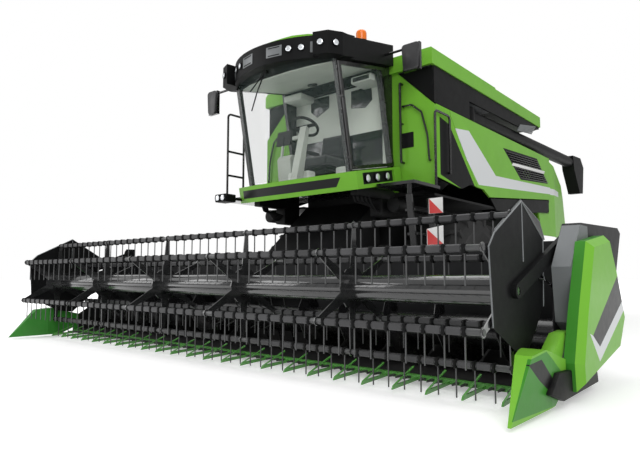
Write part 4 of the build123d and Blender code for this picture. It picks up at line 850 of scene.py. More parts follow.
@dataclass
class Studio:
    """Camera, floor, lamps and world.

    The floor's glow grows from near to far, by its fade's rate per metre. Each lamp is its name, its place,
    its target, its size and its power.
    """

    eye: Point = (5.0798, -8.7635, 0.9536)
    yaw: float = 0.6995
    pitch: float = 0.0880
    focal_px: float = 550.49
    width_px: float = 640.0
    sensor: float = 36.0
    floor_half: float = 90.0
    fade_rate: float = 0.11
    fade_start: float = 0.75
    near_glow: float = 0.36
    far_glow: float = 0.75
    daylight: float = 0.62
    lamps: tuple[tuple[str, Point, Point, float, float], ...] = (
        ("key", (9.0, -11.0, 9.0), (0.5, -3.0, 1.5), 7.0, 640.0),
        ("fill", (-9.0, -12.0, 6.0), (0.0, -3.0, 1.2), 7.0, 420.0),
        ("top", (0.0, -1.0, 12.0), (0.0, -1.0, 0.0), 9.0, 520.0))

    def build(self) -> None:
        """Make the camera, the floor and the lights."""
        scene = bpy.context.scene
        scene.view_settings.view_transform = "Standard"
        Bench.clear()
        bpy.ops.object.camera_add(location=self.eye, rotation=(math.pi / 2 + self.pitch, 0.0, self.yaw))
        camera = bpy.context.object
        camera.data.sensor_width = self.sensor
        camera.data.lens = self.sensor * self.focal_px / self.width_px
        camera.data.clip_end = 400.0
        scene.camera = camera
        self._floor()
        self._world()
        for lamp in self.lamps:
            self._lamp(*lamp)

    def _floor(self) -> None:
        """A white floor that fades into the background and keeps the machine's shadow."""
        Bench.clear()
        bpy.ops.mesh.primitive_plane_add(size=2 * self.floor_half, location=(0.0, 0.0, -0.002))
        floor = bpy.context.object
        floor.name = "floor"
        shader = Shader("floor_white")
        shader.set("Base Color", (0.80, 0.80, 0.80))
        shader.set("Roughness", 0.9)
        shader.set("Specular IOR Level", 0.1)
        path = shader.tree.nodes.new("ShaderNodeLightPath")
        camera, glossy, through = (Socket(shader, path.outputs[f"Is {ray} Ray"])
                                   for ray in ("Camera", "Glossy", "Transmission"))
        seen = (camera + glossy + through).clamped()
        far = shader.node("ShaderNodeVectorMath", {"operation": "LENGTH"}, {0: shader.where()}, "Value")
        fade = (far * self.fade_rate - self.fade_start).clamped()
        glow = seen * (fade * self.far_glow + self.near_glow)
        shader.set("Emission Color", shader.mix(glow, (0.0, 0.0, 0.0), (1.0, 1.0, 1.0)))
        shader.set("Emission Strength", 1.0)
        floor.data.materials.append(shader.material)

    def _world(self) -> None:
        """White to the camera and through glass, and a soft even light on the machine."""
        world = bpy.data.worlds.new("studio")
        bpy.context.scene.world = world
        world.use_nodes = True
        tree = world.node_tree
        tree.nodes.clear()
        path, seen, light, either, mix, output = (tree.nodes.new(f"ShaderNode{kind}") for kind in (
            "LightPath", "Background", "Background", "Math", "MixShader", "OutputWorld"))
        for back, strength in ((seen, 1.0), (light, self.daylight)):
            back.inputs["Strength"].default_value = strength
            back.inputs["Color"].default_value = (1.0, 1.0, 1.0, 1.0)
        either.operation = "MAXIMUM"
        for start, end in ((path.outputs["Is Camera Ray"], either.inputs[0]),
                           (path.outputs["Is Transmission Ray"], either.inputs[1]),
                           (either.outputs[0], mix.inputs[0]), (light.outputs[0], mix.inputs[1]),
                           (seen.outputs[0], mix.inputs[2]), (mix.outputs[0], output.inputs[0])):
            tree.links.new(start, end)

    @staticmethod
    def _lamp(name: str, place: Point, target: Point, size: float, power: float) -> None:
        """A large soft lamp aimed at a point.

        Args:
            name: Its name.
            place: Where it hangs.
            target: What it is aimed at.
            size: The width of its square.
            power: Its power in watts.
        """
        Bench.clear()
        bpy.ops.object.light_add(type="AREA", location=place)
        lamp = bpy.context.object
        lamp.name = f"lamp_{name}"
        lamp.data.size = size
        lamp.data.energy = power
        lamp.rotation_euler = (Vector(target) - Vector(place)).to_track_quat("-Z", "Y").to_euler()


@dataclass
class CabTrim(Assembly):
    """Lamps, lining, wiper and mirrors of the cab.

    Each of the visor's lamps is (across, along, heading in degrees), each row of its nose is (lowest,
    highest, inset, depth), and a span is a start and an end across. The wiper's points are (across, rise,
    outwards). Each mirror is (across, half width, along, lowest, highest).
    """

    lamps: tuple[Point, ...] = (
        (0.45, -3.875, -68.6), (0.60, -3.8045, -60.9), (0.89, -3.78, -66.0), (1.02, -3.645, -23.0))
    lamp_height: float = 3.79
    lamp_radius: float = 0.043
    lamp_depth: float = 0.012
    lamp_proud: float = 0.011
    lens_share: float = 0.84
    headlamps: tuple[float, ...] = (0.18, 0.40, 0.64)
    headlamp_radius: float = 0.056
    headlamp_rise: float = -0.1275
    pocket_side: float = 1.075
    nose: float = 1.2354
    nose_centre: float = -2.7246
    nose_front: float = -3.985
    nose_back: float = 0.012
    nose_spans: Outline = ((0.13, 0.36), (0.70, 0.80))
    panel_rows: tuple[Row, ...] = ((3.72, 3.86, 0.0, 0.020),)
    slot_rows: tuple[Row, ...] = ((3.735, 3.745, 0.03, 0.024), (3.835, 3.845, 0.03, 0.024))
    ceiling_rise: float = 1.385
    ceiling_depth: float = 0.02
    ceiling: Outline = (
        (0.86, 0.06), (0.86, 1.02), (-0.86, 1.02), (-0.86, 0.06), (-0.60, -0.05), (-0.25, -0.12),
        (0.25, -0.12), (0.60, -0.05))
    boxes: tuple[Box, ...] = (
        ((-0.87, -2.292, 2.18), (0.87, -2.272, 3.74), 0.008, 2),
        ((0.48, -2.62, 3.66), (0.84, -2.288, 3.76), 0.02, 3),
        ((-0.84, -2.62, 3.66), (-0.48, -2.288, 3.76), 0.02, 3),
        ((-0.29, -3.10, 2.17), (0.10, -2.94, 2.40), 0.02, 3),
        ((0.32, -2.78, 2.17), (0.58, -2.40, 2.46), 0.03, 3),
        ((-0.86, -2.42, 3.10), (-0.66, -2.29, 3.16), 0.01, 2))
    pane_face: float = -2.290
    pane_depth: float = 0.010
    panes: tuple[Outline, ...] = (
        ((-0.546, 3.72), (-0.176, 3.72), (-0.176, 3.527), (-0.42, 3.414), (-0.545, 3.519)),
        ((0.25, 3.69), (0.614, 3.70), (0.63, 3.487), (0.505, 3.393), (0.249, 3.428)),
        ((-0.80, 3.02), (0.80, 3.02), (0.80, 2.50), (-0.80, 2.50)))
    dark_boxes: tuple[Box, ...] = (
        ((0.52, -2.625, 3.68), (0.80, -2.600, 3.74), 0.004, 2),
        ((-0.84, -3.36, 2.161), (0.84, -2.42, 2.172), 0.004, 2))
    speaker: Point = (-0.19, 0.86, 1.384)
    speaker_radius: float = 0.075
    speaker_depth: float = 0.016
    wiper_arm: tuple[Point, ...] = ((0.0, 1.43, 0.03), (-0.36, 1.25, 0.035))
    wiper_blade: tuple[Point, ...] = ((-0.05, 1.41, 0.012), (-0.23, 1.215, 0.014), (-0.42, 1.0, 0.012))
    wiper_pivot: tuple[Point, ...] = ((0.0, 1.43, 0.0), (0.0, 1.43, 0.045))
    wiper_radii: Point = (0.008, 0.009, 0.025)
    glass_bow: float = 1.636
    glass_reach: float = 0.29
    mirrors: tuple[tuple[float, ...], ...] = (
        (1.43, 0.13, -2.54, 3.66, 4.03), (-1.50, 0.10, -3.50, 3.40, 3.76))
    mirror_round: float = 0.05
    mirror_inset: float = 0.045
    mirror_taper: float = 0.018
    mirror_shell: float = 0.062
    mirror_front: float = 0.03
    mirror_glass: Flat = (0.048, 0.054)
    mirror_glass_inset: Flat = (0.012, 0.014)
    corner_box: Box = ((-1.22, -3.66, 2.00), (-0.98, -3.46, 2.115), 0.015, 3)
    corner_stay: tuple[Point, Point] = ((-1.02, -3.48, 2.057), (-1.02, -3.28, 2.057))
    corner_stay_radius: float = 0.022
    corner_lamps: tuple[Point, ...] = ((-1.155, -3.659, 2.058), (-1.045, -3.659, 2.058))
    corner_lamp_radius: float = 0.048
    corner_lamp_depth: float = 0.014

    def build(self) -> None:
        """Model all the cab's trim."""
        self._lenses()
        self._visor_panels()
        self._lining()
        self._wiper()
        self._mirrors()
        self._corner_lamps()

    def _round_lamps(self, name: str, places: Sequence[tuple[Vector, Vector]], radius: float, depth: float,
                     lens: Finish = Finish.LENS, slot: str = "window") -> None:
        """A group of round lamps, each with a black bezel round its lens.

        Args:
            name: The piece's name.
            places: The middle and the heading of each lamp.
            radius: Their radius.
            depth: From their backs to their bezels.
            lens: The finish inside the bezels.
            slot: The record's material slot.
        """
        bits = [Bench.lamp(centre, out, radius, depth) for centre, out in places]
        self.add(name, bits, Finish.BLACK_PANEL, slot=slot, second=lens, test=lambda c: min(
            (c - centre).length for centre, _ in places) < self.lens_share * radius)

    def _lenses(self) -> None:
        """The visor's work lamps and the headlamps in the apron's pockets."""
        places = []
        for side in HANDS:
            for x, y, turn in self.lamps:
                out = Vector((side * math.cos(math.radians(turn)), math.sin(math.radians(turn)), 0.0))
                places.append((Vector((side * x, y, self.lamp_height)) + out * self.lamp_proud, out))
        self._round_lamps("visor_lamps", places, self.lamp_radius, self.lamp_depth)
        places = [(Vector((side * self.pocket_side, *cab_point(0, run, self.headlamp_rise)[1:])),
                   Vector((side, 0, 0))) for side in HANDS for run in self.headlamps]
        self._round_lamps("headlamps", places, self.headlamp_radius, self.lamp_depth)

    def _visor_panels(self) -> None:
        """Grey panels let into the visor's nose between its lamps, and slots round them."""
        for name, rows, finish in (("visor_panels", self.panel_rows, Finish.GREY),
                                   ("visor_slots", self.slot_rows, Finish.BLACK_PANEL)):
            bits = [Bench.plate([self._on_nose(side, x, z) for x, z in rectangle(
                (start + inset, low), (end - inset, high))], (0.0, -depth, 0.0))
                    for side in HANDS for start, end in self.nose_spans for low, high, inset, depth in rows]
            self.add(name, bits, finish)

    def _on_nose(self, side: int, x: float, z: float) -> Point:
        """A point of the visor's nose, just behind its face."""
        y = max(self.nose_centre - math.sqrt(self.nose ** 2 - x ** 2), self.nose_front)
        return side * x, y + self.nose_back, z

    def _lining(self) -> None:
        """The pale ceiling and rear lining with their panes, lights, speaker and boxes."""
        corners = [cab_point(x, run, self.ceiling_rise) for x, run in self.ceiling]
        pale = [Bench.plate(corners, cab_point(0, 0, self.ceiling_depth) - cab_point(0, 0, 0), 0.006)]
        self.add("cab_lining", pale + [Bench.block(*box) for box in self.boxes], Finish.CABIN)
        dark = [Bench.plate([(x, self.pane_face, z) for x, z in pane], (0.0, -self.pane_depth, 0.0))
                for pane in self.panes]
        self.add("cab_dark_trim", dark + [Bench.block(*box) for box in self.dark_boxes], Finish.SCREEN)
        down = cab_point(0, 0, -1) - cab_point(0, 0, 0)
        self._round_lamps("ceiling_speaker", [(cab_point(*self.speaker), down)], self.speaker_radius,
                          self.speaker_depth, Finish.SCREEN, "black_panel")

    def _on_glass(self, x: float, rise: float, out: float) -> Vector:
        """A point of the windscreen's outside, moved outwards."""
        bow = -self.glass_reach + self.glass_bow - math.sqrt(self.glass_bow ** 2 - x ** 2)
        return cab_point(x, bow - out, rise)

    def _wiper(self) -> None:
        """The windscreen's wiper: its arm, its blade and the pivot at the top."""
        arm, blade, pivot = ([self._on_glass(*point) for point in points] for points in (
            self.wiper_arm, self.wiper_blade, self.wiper_pivot))
        thin, thick, round_end = self.wiper_radii
        bits = [Bench.pipe(arm, thin, bend=False), Bench.pipe(blade, thick), Bench.rod(*pivot, round_end, 20)]
        self.add("windscreen_wiper", bits, Finish.BLACK_PANEL)

    def _mirrors(self) -> None:
        """A rounded shell in front of each mirror and its glass behind."""
        shells, glasses = [], []
        side_inset, end_inset = self.mirror_glass_inset
        front, back = self.mirror_glass
        for x, half, y, low, high in self.mirrors:
            outline = []
            for quarter, (across, up) in enumerate(((1, 1), (-1, 1), (-1, -1), (1, -1))):
                taper = 0.0 if up > 0 else self.mirror_taper
                middle_x = x + across * (half - self.mirror_inset - taper)
                middle_z = (low + high) / 2 + up * ((high - low) / 2 - self.mirror_round)
                turns = [math.pi / 2 * (quarter + k / 4) for k in range(5)]
                outline += [(middle_x + self.mirror_round * math.cos(turn), y + self.mirror_front,
                             middle_z + self.mirror_round * math.sin(turn)) for turn in turns]
            shells.append(Bench.plate(outline, (0, -self.mirror_shell, 0), 0.016))
            glasses.append(Bench.block((x - half + side_inset, y + front, low + end_inset),
                                       (x + half - side_inset, y + back, high - end_inset), 0.002))
        self.add("mirror_shells", shells, Finish.SLEEVE)
        self.add("mirror_glasses", glasses, Finish.MIRROR)

    def _corner_lamps(self) -> None:
        """The lamp unit on its stay at the apron's right front corner."""
        bits = [Bench.block(*self.corner_box), Bench.rod(*self.corner_stay, self.corner_stay_radius)]
        self.add("corner_lamp_box", bits, Finish.BLACK_PANEL)
        places = [(Vector(centre), Vector((0, -1, 0))) for centre in self.corner_lamps]
        self._round_lamps("corner_lamps", places, self.corner_lamp_radius, self.corner_lamp_depth)


@dataclass
class Seat(Assembly):
    """The driver's seat: stuffed cushion, back and armrest on their pedestal.

    Each pad is its name, its lowest and highest corner before it leans, and its lean in degrees.
    """

    pads: tuple[tuple[str, Point, Point, float], ...] = (
        ("seat_cushion", (-0.245, -2.895, 2.515), (0.245, -2.415, 2.625), 0.0),
        ("seat_back", (-0.235, -2.475, 2.625), (0.235, -2.405, 3.045), -10.0),
        ("seat_armrest", (-0.304, -2.765, 2.748), (-0.256, -2.415, 2.802), 0.0))
    base: tuple[Box, ...] = (
        ((-0.17, -2.79, 2.161), (0.17, -2.51, 2.46), 0.02, 3),
        ((-0.23, -2.86, 2.46), (0.23, -2.43, 2.505), 0.015, 2),
        ((-0.292, -2.52, 2.50), (-0.266, -2.46, 2.75), 0.006, 2),
        ((-0.292, -2.52, 2.47), (-0.20, -2.46, 2.50), 0.006, 2),
        ((-0.19, -2.42, 2.47), (0.19, -2.395, 2.72), 0.008, 2))
    pad_edge: float = 0.018
    tall: float = 0.1
    back_channels: tuple[float, ...] = (-0.5, 0.0, 0.5)
    flat_channels: tuple[float, ...] = (-0.42, 0.42)
    fill: float = 0.7
    voxel: float = 0.010
    bulge: float = 0.022
    pressure: float = 4.0
    frames: int = 20
    crown: float = 0.010
    groove: float = 0.007
    crease: float = 9.0

    def build(self) -> None:
        """Model the seat that stands for the plain solid."""
        made = [(name, self._pad(low, high, math.radians(lean))) for name, low, high, lean in self.pads]
        base = self.add("seat_base", [Bench.block(*box) for box in self.base], Finish.BLACK_PANEL)
        pads = [self.add(name, [pad], Finish.CLOTH) for name, pad in made]
        for piece in (*pads, base):
            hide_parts("operator_seat")

    def _pad(self, low: Point, high: Point, lean: float) -> Piece:
        """A stuffed pad, swollen by cloth under pressure.

        Args:
            low: Lowest corner before it leans.
            high: Highest corner before it leans.
            lean: Turn about its lower edge, in radians.

        Returns:
            The pad, with its sewn channels.
        """
        pad = Bench.block(low, high, self.pad_edge, 3)
        Bench.take(pad)
        grid = pad.modifiers.new("grid", "REMESH")
        grid.mode = "VOXEL"
        grid.voxel_size = self.voxel
        bpy.ops.object.modifier_apply(modifier=grid.name)
        self._stuff(pad)
        middle = (Vector(low) + Vector(high)) / 2
        reach = (Vector(high) - Vector(low)) / 2
        upright = reach.z > self.tall
        channels = self.back_channels if upright else self.flat_channels
        face = 1 if upright else 2
        for vertex in pad.data.vertices:
            place = Vector((vertex.co - middle)[i] / reach[i] for i in range(3))
            along, across = (place.z, place.z) if upright else (place.x, place.y)
            crown = max(0.0, 1 - place.x ** 2) * max(0.0, 1 - across ** 2)
            groove = sum(math.exp(-((along - c) * self.crease) ** 2) for c in channels) * min(1.0, 3 * crown)
            vertex.co[face] += math.copysign(self.crown * crown - self.groove * groove, place[face])
            if lean:
                back, up = vertex.co.y - high[1], vertex.co.z - low[2]
                vertex.co.y = high[1] + back * math.cos(lean) - up * math.sin(lean)
                vertex.co.z = low[2] + back * math.sin(lean) + up * math.cos(lean)
        smooth = pad.modifiers.new("smooth", "SUBSURF")
        smooth.levels = smooth.render_levels = 1
        Bench.take(pad)
        bpy.ops.object.modifier_apply(modifier=smooth.name)
        bpy.ops.object.shade_smooth()
        return pad

    def _stuff(self, pad: Piece) -> None:
        """Swell a pad with simulated cloth under pressure, no further than its bulge.

        Args:
            pad: The pad.
        """
        start = [vertex.co.copy() for vertex in pad.data.vertices]
        cloth = pad.modifiers.new("stuffing", "CLOTH")
        cloth.settings.use_pressure = True
        cloth.settings.uniform_pressure_force = self.pressure
        cloth.settings.effector_weights.gravity = 0.0
        scene = bpy.context.scene
        for step in range(1, self.frames + 1):
            scene.frame_set(step)
        bpy.ops.object.modifier_apply(modifier=cloth.name)
        scene.frame_set(1)
        for vertex, place in zip(pad.data.vertices, start):
            move = vertex.co - place
            if move.length > self.bulge:
                vertex.co = place + move.normalized() * self.bulge


@dataclass
class BodyTrim(Assembly):
    """Trim of the threshing body's sides, front wall, underside and tail.

    Outlines on the sides and on the boards are (Y, Z), and those of the wall behind the cab are (X, Z). Each
    point of the lines under the cab is (along, up) and how much both change from one line to the next.
    """

    side: float = 1.6
    bar: Outline = ((0.47, 2.815), (0.52, 2.868), (2.15, 2.958), (2.12, 2.90))
    grille: Outline = ((0.11, 3.06), (1.77, 3.145), (2.48, 2.736), (0.89, 2.625))
    bar_depth: float = 0.014
    grille_rows: int = 12
    louvre_ends: Flat = (0.03, 0.04)
    louvre_drop: Point = (0.0, 0.004, -0.012)
    louvre_depth: float = 0.008
    skirt_side: float = 1.57
    skirt: Outline = (
        (0.863, 2.265), (-0.316, 1.661), (-0.405, 1.498), (2.067, 1.619), (1.817, 1.947))
    skirt_depth: float = 0.022
    rim_out: float = 0.014
    rim_radius: float = 0.013
    vent_side: float = 1.578
    vent: Outline = ((0.981, 3.654), (1.80, 3.79), (1.538, 3.582), (0.823, 3.512))
    vent_rows: int = 6
    vent_drop: Point = (0.0, 0.0, -0.022)
    vent_depth: float = 0.018
    wall_face: float = -2.23
    wall: float = -2.262
    loop_radius: float = 0.014
    loop: Outline = ((1.116, 3.294), (1.261, 3.293), (1.415, 3.164), (1.501, 2.831), (1.525, 2.485))
    door_rail: tuple[Point, ...] = (
        (1.10, -2.23, 3.62), (1.10, -2.30, 3.62), (1.105, -2.30, 3.05), (1.11, -2.30, 2.50),
        (1.11, -2.23, 2.50))
    door_rail_radius: float = 0.018
    rail_stay: tuple[Point, Point] = ((1.105, -2.23, 3.05), (1.105, -2.30, 3.05))
    cup: Outline = rectangle((1.066, 2.704), (1.271, 2.92))
    cup_face: float = -2.229
    cup_depth: float = 0.012
    board_side: float = 1.742
    board_depth: float = 0.006
    stripe_side: float = 1.7475
    stripe_depth: float = 0.003
    stripe_edge: float = 0.02
    board_stays: tuple[Box, ...] = (
        ((1.60, -2.40, 1.80), (1.744, -2.34, 1.84), 0.004, 2),
        ((1.60, -2.40, 1.43), (1.744, -2.34, 1.47), 0.004, 2))
    boards: tuple[Outline, ...] = (
        ((-2.700, 1.895), (-2.335, 1.955), (-2.335, 1.749), (-2.700, 1.704)),
        ((-2.760, 1.512), (-2.335, 1.588), (-2.335, 1.345), (-2.760, 1.312)))
    beams: tuple[Box, ...] = (
        ((0.84, -3.12, 1.97), (0.96, -2.24, 2.11), 0.01, 2),
        ((0.80, -2.62, 1.74), (1.00, -2.28, 1.98), 0.015, 2))
    tank: tuple[Point, Point] = ((1.16, -2.60, 1.88), (1.16, -2.24, 1.88))
    tank_radius: float = 0.10
    tank_strap: Box = ((0.98, -2.46, 1.86), (1.10, -2.40, 1.90), 0.006, 2)
    lines: int = 5
    first_line: float = 0.85
    line_pitch: float = 0.025
    line_radius: float = 0.013
    line_path: tuple[Row, ...] = (
        (-3.08, 2.02, 0.05, 0.0), (-3.02, 1.90, 0.05, 0.0), (-2.70, 1.88, 0.0, -0.02),
        (-2.40, 1.80, 0.0, 0.0))
    foot: tuple[Point, Point] = ((0.905, -2.94, 4.05), (0.905, -2.94, 4.082))
    foot_radius: float = 0.078
    hatch: Outline = ((-0.70, 0.12), (0.70, 0.12), (0.70, 0.90), (-0.70, 0.90), (-0.70, 0.12))
    handle: Outline = ((-0.14, 0.0), (-0.14, 0.045), (0.14, 0.045), (0.14, 0.0))
    tail_top: Point = (0.0, 4.45, 2.70)
    tail_low: Point = (0.0, 4.78, 2.12)
    housing: Outline = rectangle((0.82, 0.52), (1.14, 0.80))
    housing_depth: float = 0.018
    tail_lamps: Flat = (0.90, 1.05)
    tail_lamp_share: float = 0.66
    tail_lamp_proud: float = 0.017
    tail_lamp_radius: float = 0.052
    tail_lamp_depth: float = 0.016
    seam_radius: float = 0.006
    handle_share: float = 0.80
    handle_radius: float = 0.011

    def build(self) -> None:
        """Model the body's trim on both sides."""
        for sign, hand in HANDS.items():
            self._grille(sign, hand)
            self._skirt(sign, hand)
        self._slats()
        self._wall()
        self._boards()
        self._underside()
        self._beacon_feet()
        self._tail()

    @staticmethod
    def _row(x: float, opening: Outline, share: float) -> tuple[Vector, Vector]:
        """The front and back end of a row that lies a share of the way down a side opening."""
        top_front, top_back, low_back, low_front = (Vector((x, y, z)) for y, z in opening)
        return top_front.lerp(low_front, share), top_back.lerp(low_back, share)

    @staticmethod
    def _slat(front: Vector, back: Vector, drop: Point, depth: float, bevel: float) -> Piece:
        """A thin slat from front to back, as high as its drop."""
        return Bench.plate([front, back, back + Vector(drop), front + Vector(drop)], (depth, 0, 0), bevel)

    @staticmethod
    def _block_at(sign: int, box: Box) -> Piece:
        """A box on the left, or its mirror image on the right."""
        (x, y, z), (far, back, top), bevel, segments = box
        return Bench.block((sign * x, y, z), (sign * far, back, top), bevel, segments)

    @staticmethod
    def _rod_at(sign: int, ends: tuple[Point, Point], radius: float, bevel: float) -> Piece:
        """A round bar on the left, or its mirror image on the right."""
        start, end = ((sign * x, y, z) for x, y, z in ends)
        return Bench.rod(start, end, radius, 28, bevel)

    def _grille(self, sign: int, hand: str) -> None:
        """The side grille's bright bar and its louvres, on the panel that hinges.

        Args:
            sign: 1 on the left and -1 on the right.
            hand: The side's name.
        """
        x = sign * self.side
        body = f"side_panel_{hand}"
        bar = Bench.side_plate(x, self.bar, sign * self.bar_depth, 0.004)
        self.add(f"grille_bar_{hand}", [bar], Finish.WHITE, body)
        louvres = []
        middle = self.grille_rows // 2
        front_gap, back_gap = self.louvre_ends
        for step in (*range(1, middle), *range(middle + 1, self.grille_rows)):
            front, back = self._row(x, self.grille, step / self.grille_rows)
            front, back = front.lerp(back, front_gap), back.lerp(front, back_gap)
            louvres.append(self._slat(front, back, self.louvre_drop, sign * self.louvre_depth, 0.002))
        self.add(f"grille_louvres_{hand}", louvres, Finish.SLEEVE, body)

    def _skirt(self, sign: int, hand: str) -> None:
        """The dark triangular plate behind the front wheel, with its light edge.

        Args:
            sign: 1 on the left and -1 on the right.
            hand: The side's name.
        """
        x = sign * self.skirt_side
        plate = Bench.side_plate(x, self.skirt, sign * self.skirt_depth, 0.006)
        self.add(f"skirt_plate_{hand}", [plate], Finish.SLEEVE)
        rim = (*self.skirt[2::-1], *self.skirt[:2:-1])
        edge = Bench.pipe([(x + sign * self.rim_out, y, z) for y, z in rim], self.rim_radius, bend=False)
        self.add(f"skirt_edge_{hand}", [edge], Finish.GREY)

    def _slats(self) -> None:
        """Air slats in the upper cowling."""
        slats = []
        for sign in HANDS:
            for step in range(self.vent_rows):
                row = self._row(sign * self.vent_side, self.vent, (step + 0.5) / self.vent_rows)
                slats.append(self._slat(*row, self.vent_drop, sign * self.vent_depth, 0.004))
        self.add("cowling_slats", slats, Finish.GREY)

    def _wall(self) -> None:
        """The rail loops, the door rail and the recess cups on the wall behind the cab."""
        face = self.wall_face
        loop = [(x, self.wall, z) for x, z in self.loop]
        loop = [(loop[0][0], face, loop[0][2]), *loop, (loop[-1][0], face, loop[-1][2])]
        bits = [Bench.pipe([(sign * x, y, z) for x, y, z in loop], self.loop_radius) for sign in HANDS]
        bits.append(Bench.pipe(self.door_rail, self.door_rail_radius))
        bits.append(Bench.rod(*self.rail_stay, self.loop_radius, 12))
        self.add("wall_rails", bits, Finish.BLACK_PAINT)
        cups = [Bench.plate([(sign * x, self.cup_face, z) for x, z in self.cup],
                            (0, -self.cup_depth, 0), 0.008) for sign in HANDS]
        self.add("wall_recess_cups", cups, Finish.BLACK_PANEL)

    def _boards(self) -> None:
        """Red and white boards on the ladder's rear stile, and their stays."""
        white, red = [], []
        for outline in self.boards:
            white.append(Bench.side_plate(self.board_side, outline, self.board_depth, 0.002))
            top_front, top_back, low_back, low_front = (Vector((self.stripe_side, y, z)) for y, z in outline)
            corners = [start.lerp(end, self.stripe_edge) for start, end in (
                (top_front, low_front), (low_back, low_front), (low_front, top_back))]
            red.append(Bench.plate(corners, (self.stripe_depth, 0, 0), 0.001))
        white += [Bench.block(*stay) for stay in self.board_stays]
        self.add("warning_boards", white, Finish.WHITE, "ladder")
        self.add("warning_stripes", red, Finish.RED, "ladder")

    def _underside(self) -> None:
        """Beams, pipes, tanks and valve blocks under the cab, beside the feederhouse."""
        bits = []
        for sign in HANDS:
            bits += [self._block_at(sign, beam) for beam in self.beams]
            for step in range(self.lines):
                x = sign * (self.first_line + self.line_pitch * step)
                path = [(x, y + back * step, z + up * step) for y, z, back, up in self.line_path]
                bits.append(Bench.pipe(path, self.line_radius))
            bits.append(self._rod_at(sign, self.tank, self.tank_radius, 0.01))
            bits.append(self._block_at(sign, self.tank_strap))
        self.add("cab_underside", bits, Finish.FRAME)

    def _beacon_feet(self) -> None:
        """A black foot under each orange dome."""
        feet = [self._rod_at(sign, self.foot, self.foot_radius, 0.006) for sign in HANDS]
        self.add("beacon_feet", feet, Finish.BLACK_PANEL)

    def _tail(self) -> None:
        """The hood's rear lamps in their housings, its hatch seam and its handle."""
        top, low = Vector(self.tail_top), Vector(self.tail_low)
        out = Vector((0.0, top.z - low.z, low.y - top.y)).normalized()

        def place(x: float, share: float, rise: float = 0.0) -> Vector:
            """A point of the sloping tail: across, down its slope, and out of it."""
            return top.lerp(low, share) + Vector((x, 0, 0)) + out * rise

        houses, red, amber = [], [], []
        for sign in HANDS:
            corners = [place(sign * x, share) for x, share in self.housing]
            houses.append(Bench.plate(corners, out * self.housing_depth, 0.005))
            for x, bits in zip(self.tail_lamps, (red, amber)):
                centre = place(sign * x, self.tail_lamp_share, self.tail_lamp_proud)
                bits.append(Bench.lamp(centre, out, self.tail_lamp_radius, self.tail_lamp_depth))
        seam = Bench.pipe([place(x, share) for x, share in self.hatch], self.seam_radius, bend=False)
        handle = Bench.pipe([place(x, self.handle_share, rise) for x, rise in self.handle],
                            self.handle_radius)
        self.add("tail_housings", houses, Finish.BLACK_PANEL)
        self.add("tail_lamps_red", red, Finish.RED, slot="lens_orange")
        self.add("tail_lamps_amber", amber, Finish.BEACON)
        self.add("hood_seam_and_handle", [seam, handle], Finish.BLACK_PANEL)


@dataclass
class HeaderTrim(Assembly):
    """Trim of the grain header's drive side, with outlines as (Y, Z)."""

    boot_side: float = 3.795
    boot_depth: float = 0.045
    bar_side: float = 3.66
    bar_depth: float = 0.115
    boot: Outline = (
        (-4.70, 0.27), (-4.88, 0.145), (-4.60, 0.06), (-3.67, 0.06), (-3.70, 0.16), (-4.35, 0.25))
    bar: Outline = ((-4.359, 0.511), (-4.161, 0.519), (-4.504, 0.238), (-4.713, 0.315))

    def build(self) -> None:
        """Model the boot and the bevelled bar of the drive side."""
        boot = Bench.side_plate(self.boot_side, self.boot, self.boot_depth, 0.010)
        self.add("drive_boot", [boot], Finish.BLACK_PANEL, "header")
        bar = Bench.side_plate(self.bar_side, self.bar, self.bar_depth, 0.022)
        self.add("drive_bar", [bar], Finish.GREEN, "header")


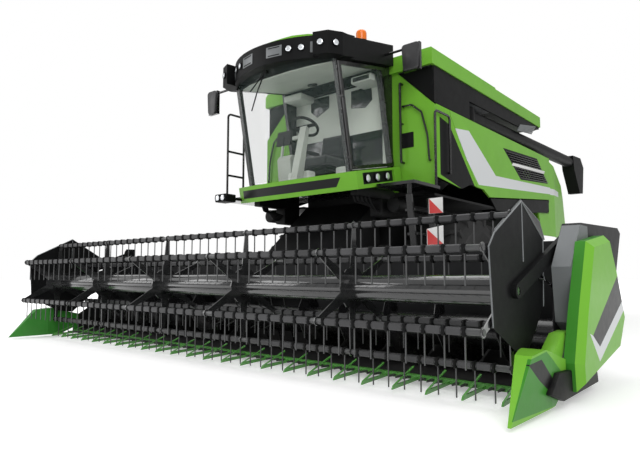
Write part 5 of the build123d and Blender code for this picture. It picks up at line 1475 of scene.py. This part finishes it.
@dataclass
class ReelTrim(Assembly):
    """Skins of the reel's tube, grey pipes along its shields' edges as a painted highlight, and sleeves and
    clips along its bars.
    """

    centre: Flat = (-4.81, 0.836)
    radius: float = 0.557
    first_turn: float = 27.8
    pitch: float = 0.1524
    tines: int = 46
    bars: int = 6
    spiders: int = 6
    spider_pitch: float = 1.4226
    tube: float = 0.1145
    tube_gap: float = 0.03
    sleeve_gap: float = 0.017
    sleeve_half: float = 0.027
    sleeve_clear: float = 0.085
    clip_half: Point = (0.013, 0.034, 0.036)
    clip_clear: float = 0.03
    shield: float = 3.576
    # Lines along the shields' front and top edges, where grey pipes stand in for their highlight: painted
    # highlight.
    shield_highlight_lines: tuple[Outline, ...] = (
        ((-5.19, 0.60), (-5.23, 1.14), (-5.13, 1.24), (-4.60, 1.51), (-4.14, 1.24), (-4.18, 0.70)),
        ((-4.60, 1.50), (-4.60, 1.05)))

    def build(self) -> None:
        """Model the tube's skins, the painted highlights along the shields' edges and each bar's sleeves and
        clips.
        """
        self._tube()
        # Grey pipes along the shields' edges: a painted highlight, not a part of the shields.
        edges = [Bench.pipe([(sign * self.shield, y, z) for y, z in line], 0.006, bend=False)
                 for sign in HANDS for line in self.shield_highlight_lines]
        self.add("shield_edge_highlights", edges, Finish.GREY, "reel_arms")
        self._bars()

    def _spider(self, number: int) -> float:
        """Where a spider stands across the machine."""
        return (number - (self.spiders - 1) / 2) * self.spider_pitch

    def _tube(self) -> None:
        """The smooth skins of the reel's tube between its spiders."""
        skins = [Bench.rod((self._spider(i) + self.tube_gap, *self.centre),
                           (self._spider(i + 1) - self.tube_gap, *self.centre),
                           self.tube, 72, 0.004) for i in range(self.spiders - 1)]
        self.add("reel_tube_skins", skins, Finish.REEL, "reel_core")

    def _bars(self) -> None:
        """One sleeve and one clip, copied along each bar clear of the spiders."""
        spiders = [self._spider(i) for i in range(self.spiders)]
        sleeve = (self.pitch / 2 - self.sleeve_gap, self.sleeve_half, self.sleeve_half)
        rows = (("bar_sleeves", self.tines - 1, self.sleeve_clear, sleeve, Finish.SLEEVE),
                ("bar_clips", self.tines, self.clip_clear, self.clip_half, Finish.BLACK_PANEL))
        for number in range(self.bars):
            turn = math.radians(self.first_turn + 360 / self.bars * number)
            y = self.centre[0] + self.radius * math.cos(turn)
            z = self.centre[1] + self.radius * math.sin(turn)
            for name, count, clear, (half_x, half_y, below), finish in rows:
                places = [(k - (count - 1) / 2) * self.pitch for k in range(count)]
                places = [x for x in places if min(abs(x - s) for s in spiders) > clear]
                first = places[0]
                bit = Bench.block((first - half_x, y - half_y, z - below),
                                  (first + half_x, y + half_y, z + half_y), 0.008, 1)
                bit = Bench.copies(bit, [(x - first, 0, 0) for x in places[1:]])
                self.add(f"{name}_{number + 1}", [bit], finish, f"tine_bar_{number + 1}", "tine_plastic")


@dataclass
class WheelTrim(Assembly):
    """Wheel nuts and hub caps, with each wheel's centre as (Y, Z)."""

    centres: tuple[tuple[str, Flat], ...] = (("front", (-1.25, 0.925)), ("rear", (2.6, 0.65)))
    face: float = 1.50
    nuts: int = 10
    circle: float = 0.115
    nut_radius: float = 0.017
    nut_height: float = 0.026
    cap_radius: float = 0.075
    cap_depth: float = 0.03

    def build(self) -> None:
        """Model the nuts and cap of each wheel."""
        for sign, hand in HANDS.items():
            for end, (y, z) in self.centres:
                x = sign * self.face
                bits = []
                for turn in (2 * math.pi * k / self.nuts for k in range(self.nuts)):
                    nut = (y + self.circle * math.cos(turn), z + self.circle * math.sin(turn))
                    bits.append(Bench.rod((x, *nut), (x + sign * self.nut_height, *nut), self.nut_radius, 6))
                bits.append(Bench.lamp((x, y, z), (sign, 0, 0), self.cap_radius, self.cap_depth))
                self.add(f"{end}_wheel_nuts_{hand}", bits, Finish.STEEL, f"{end}_wheel_{hand}")


def main() -> None:
    """Build the studio, dress the frame and model the trim."""
    logging.basicConfig(level=logging.INFO, format="%(name)s: %(message)s")
    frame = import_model()
    Studio().build()
    palette = Palette()
    for name, node in frame["nodes"].items():
        palette.dress(node, finish_of(name))
        LOG.info("%s: %s", name, finish_of(name).value.title)
    for part in (CabTrim, Seat, BodyTrim, HeaderTrim, ReelTrim, WheelTrim):
        part(palette).build()


if __name__ == "__main__":
    main()
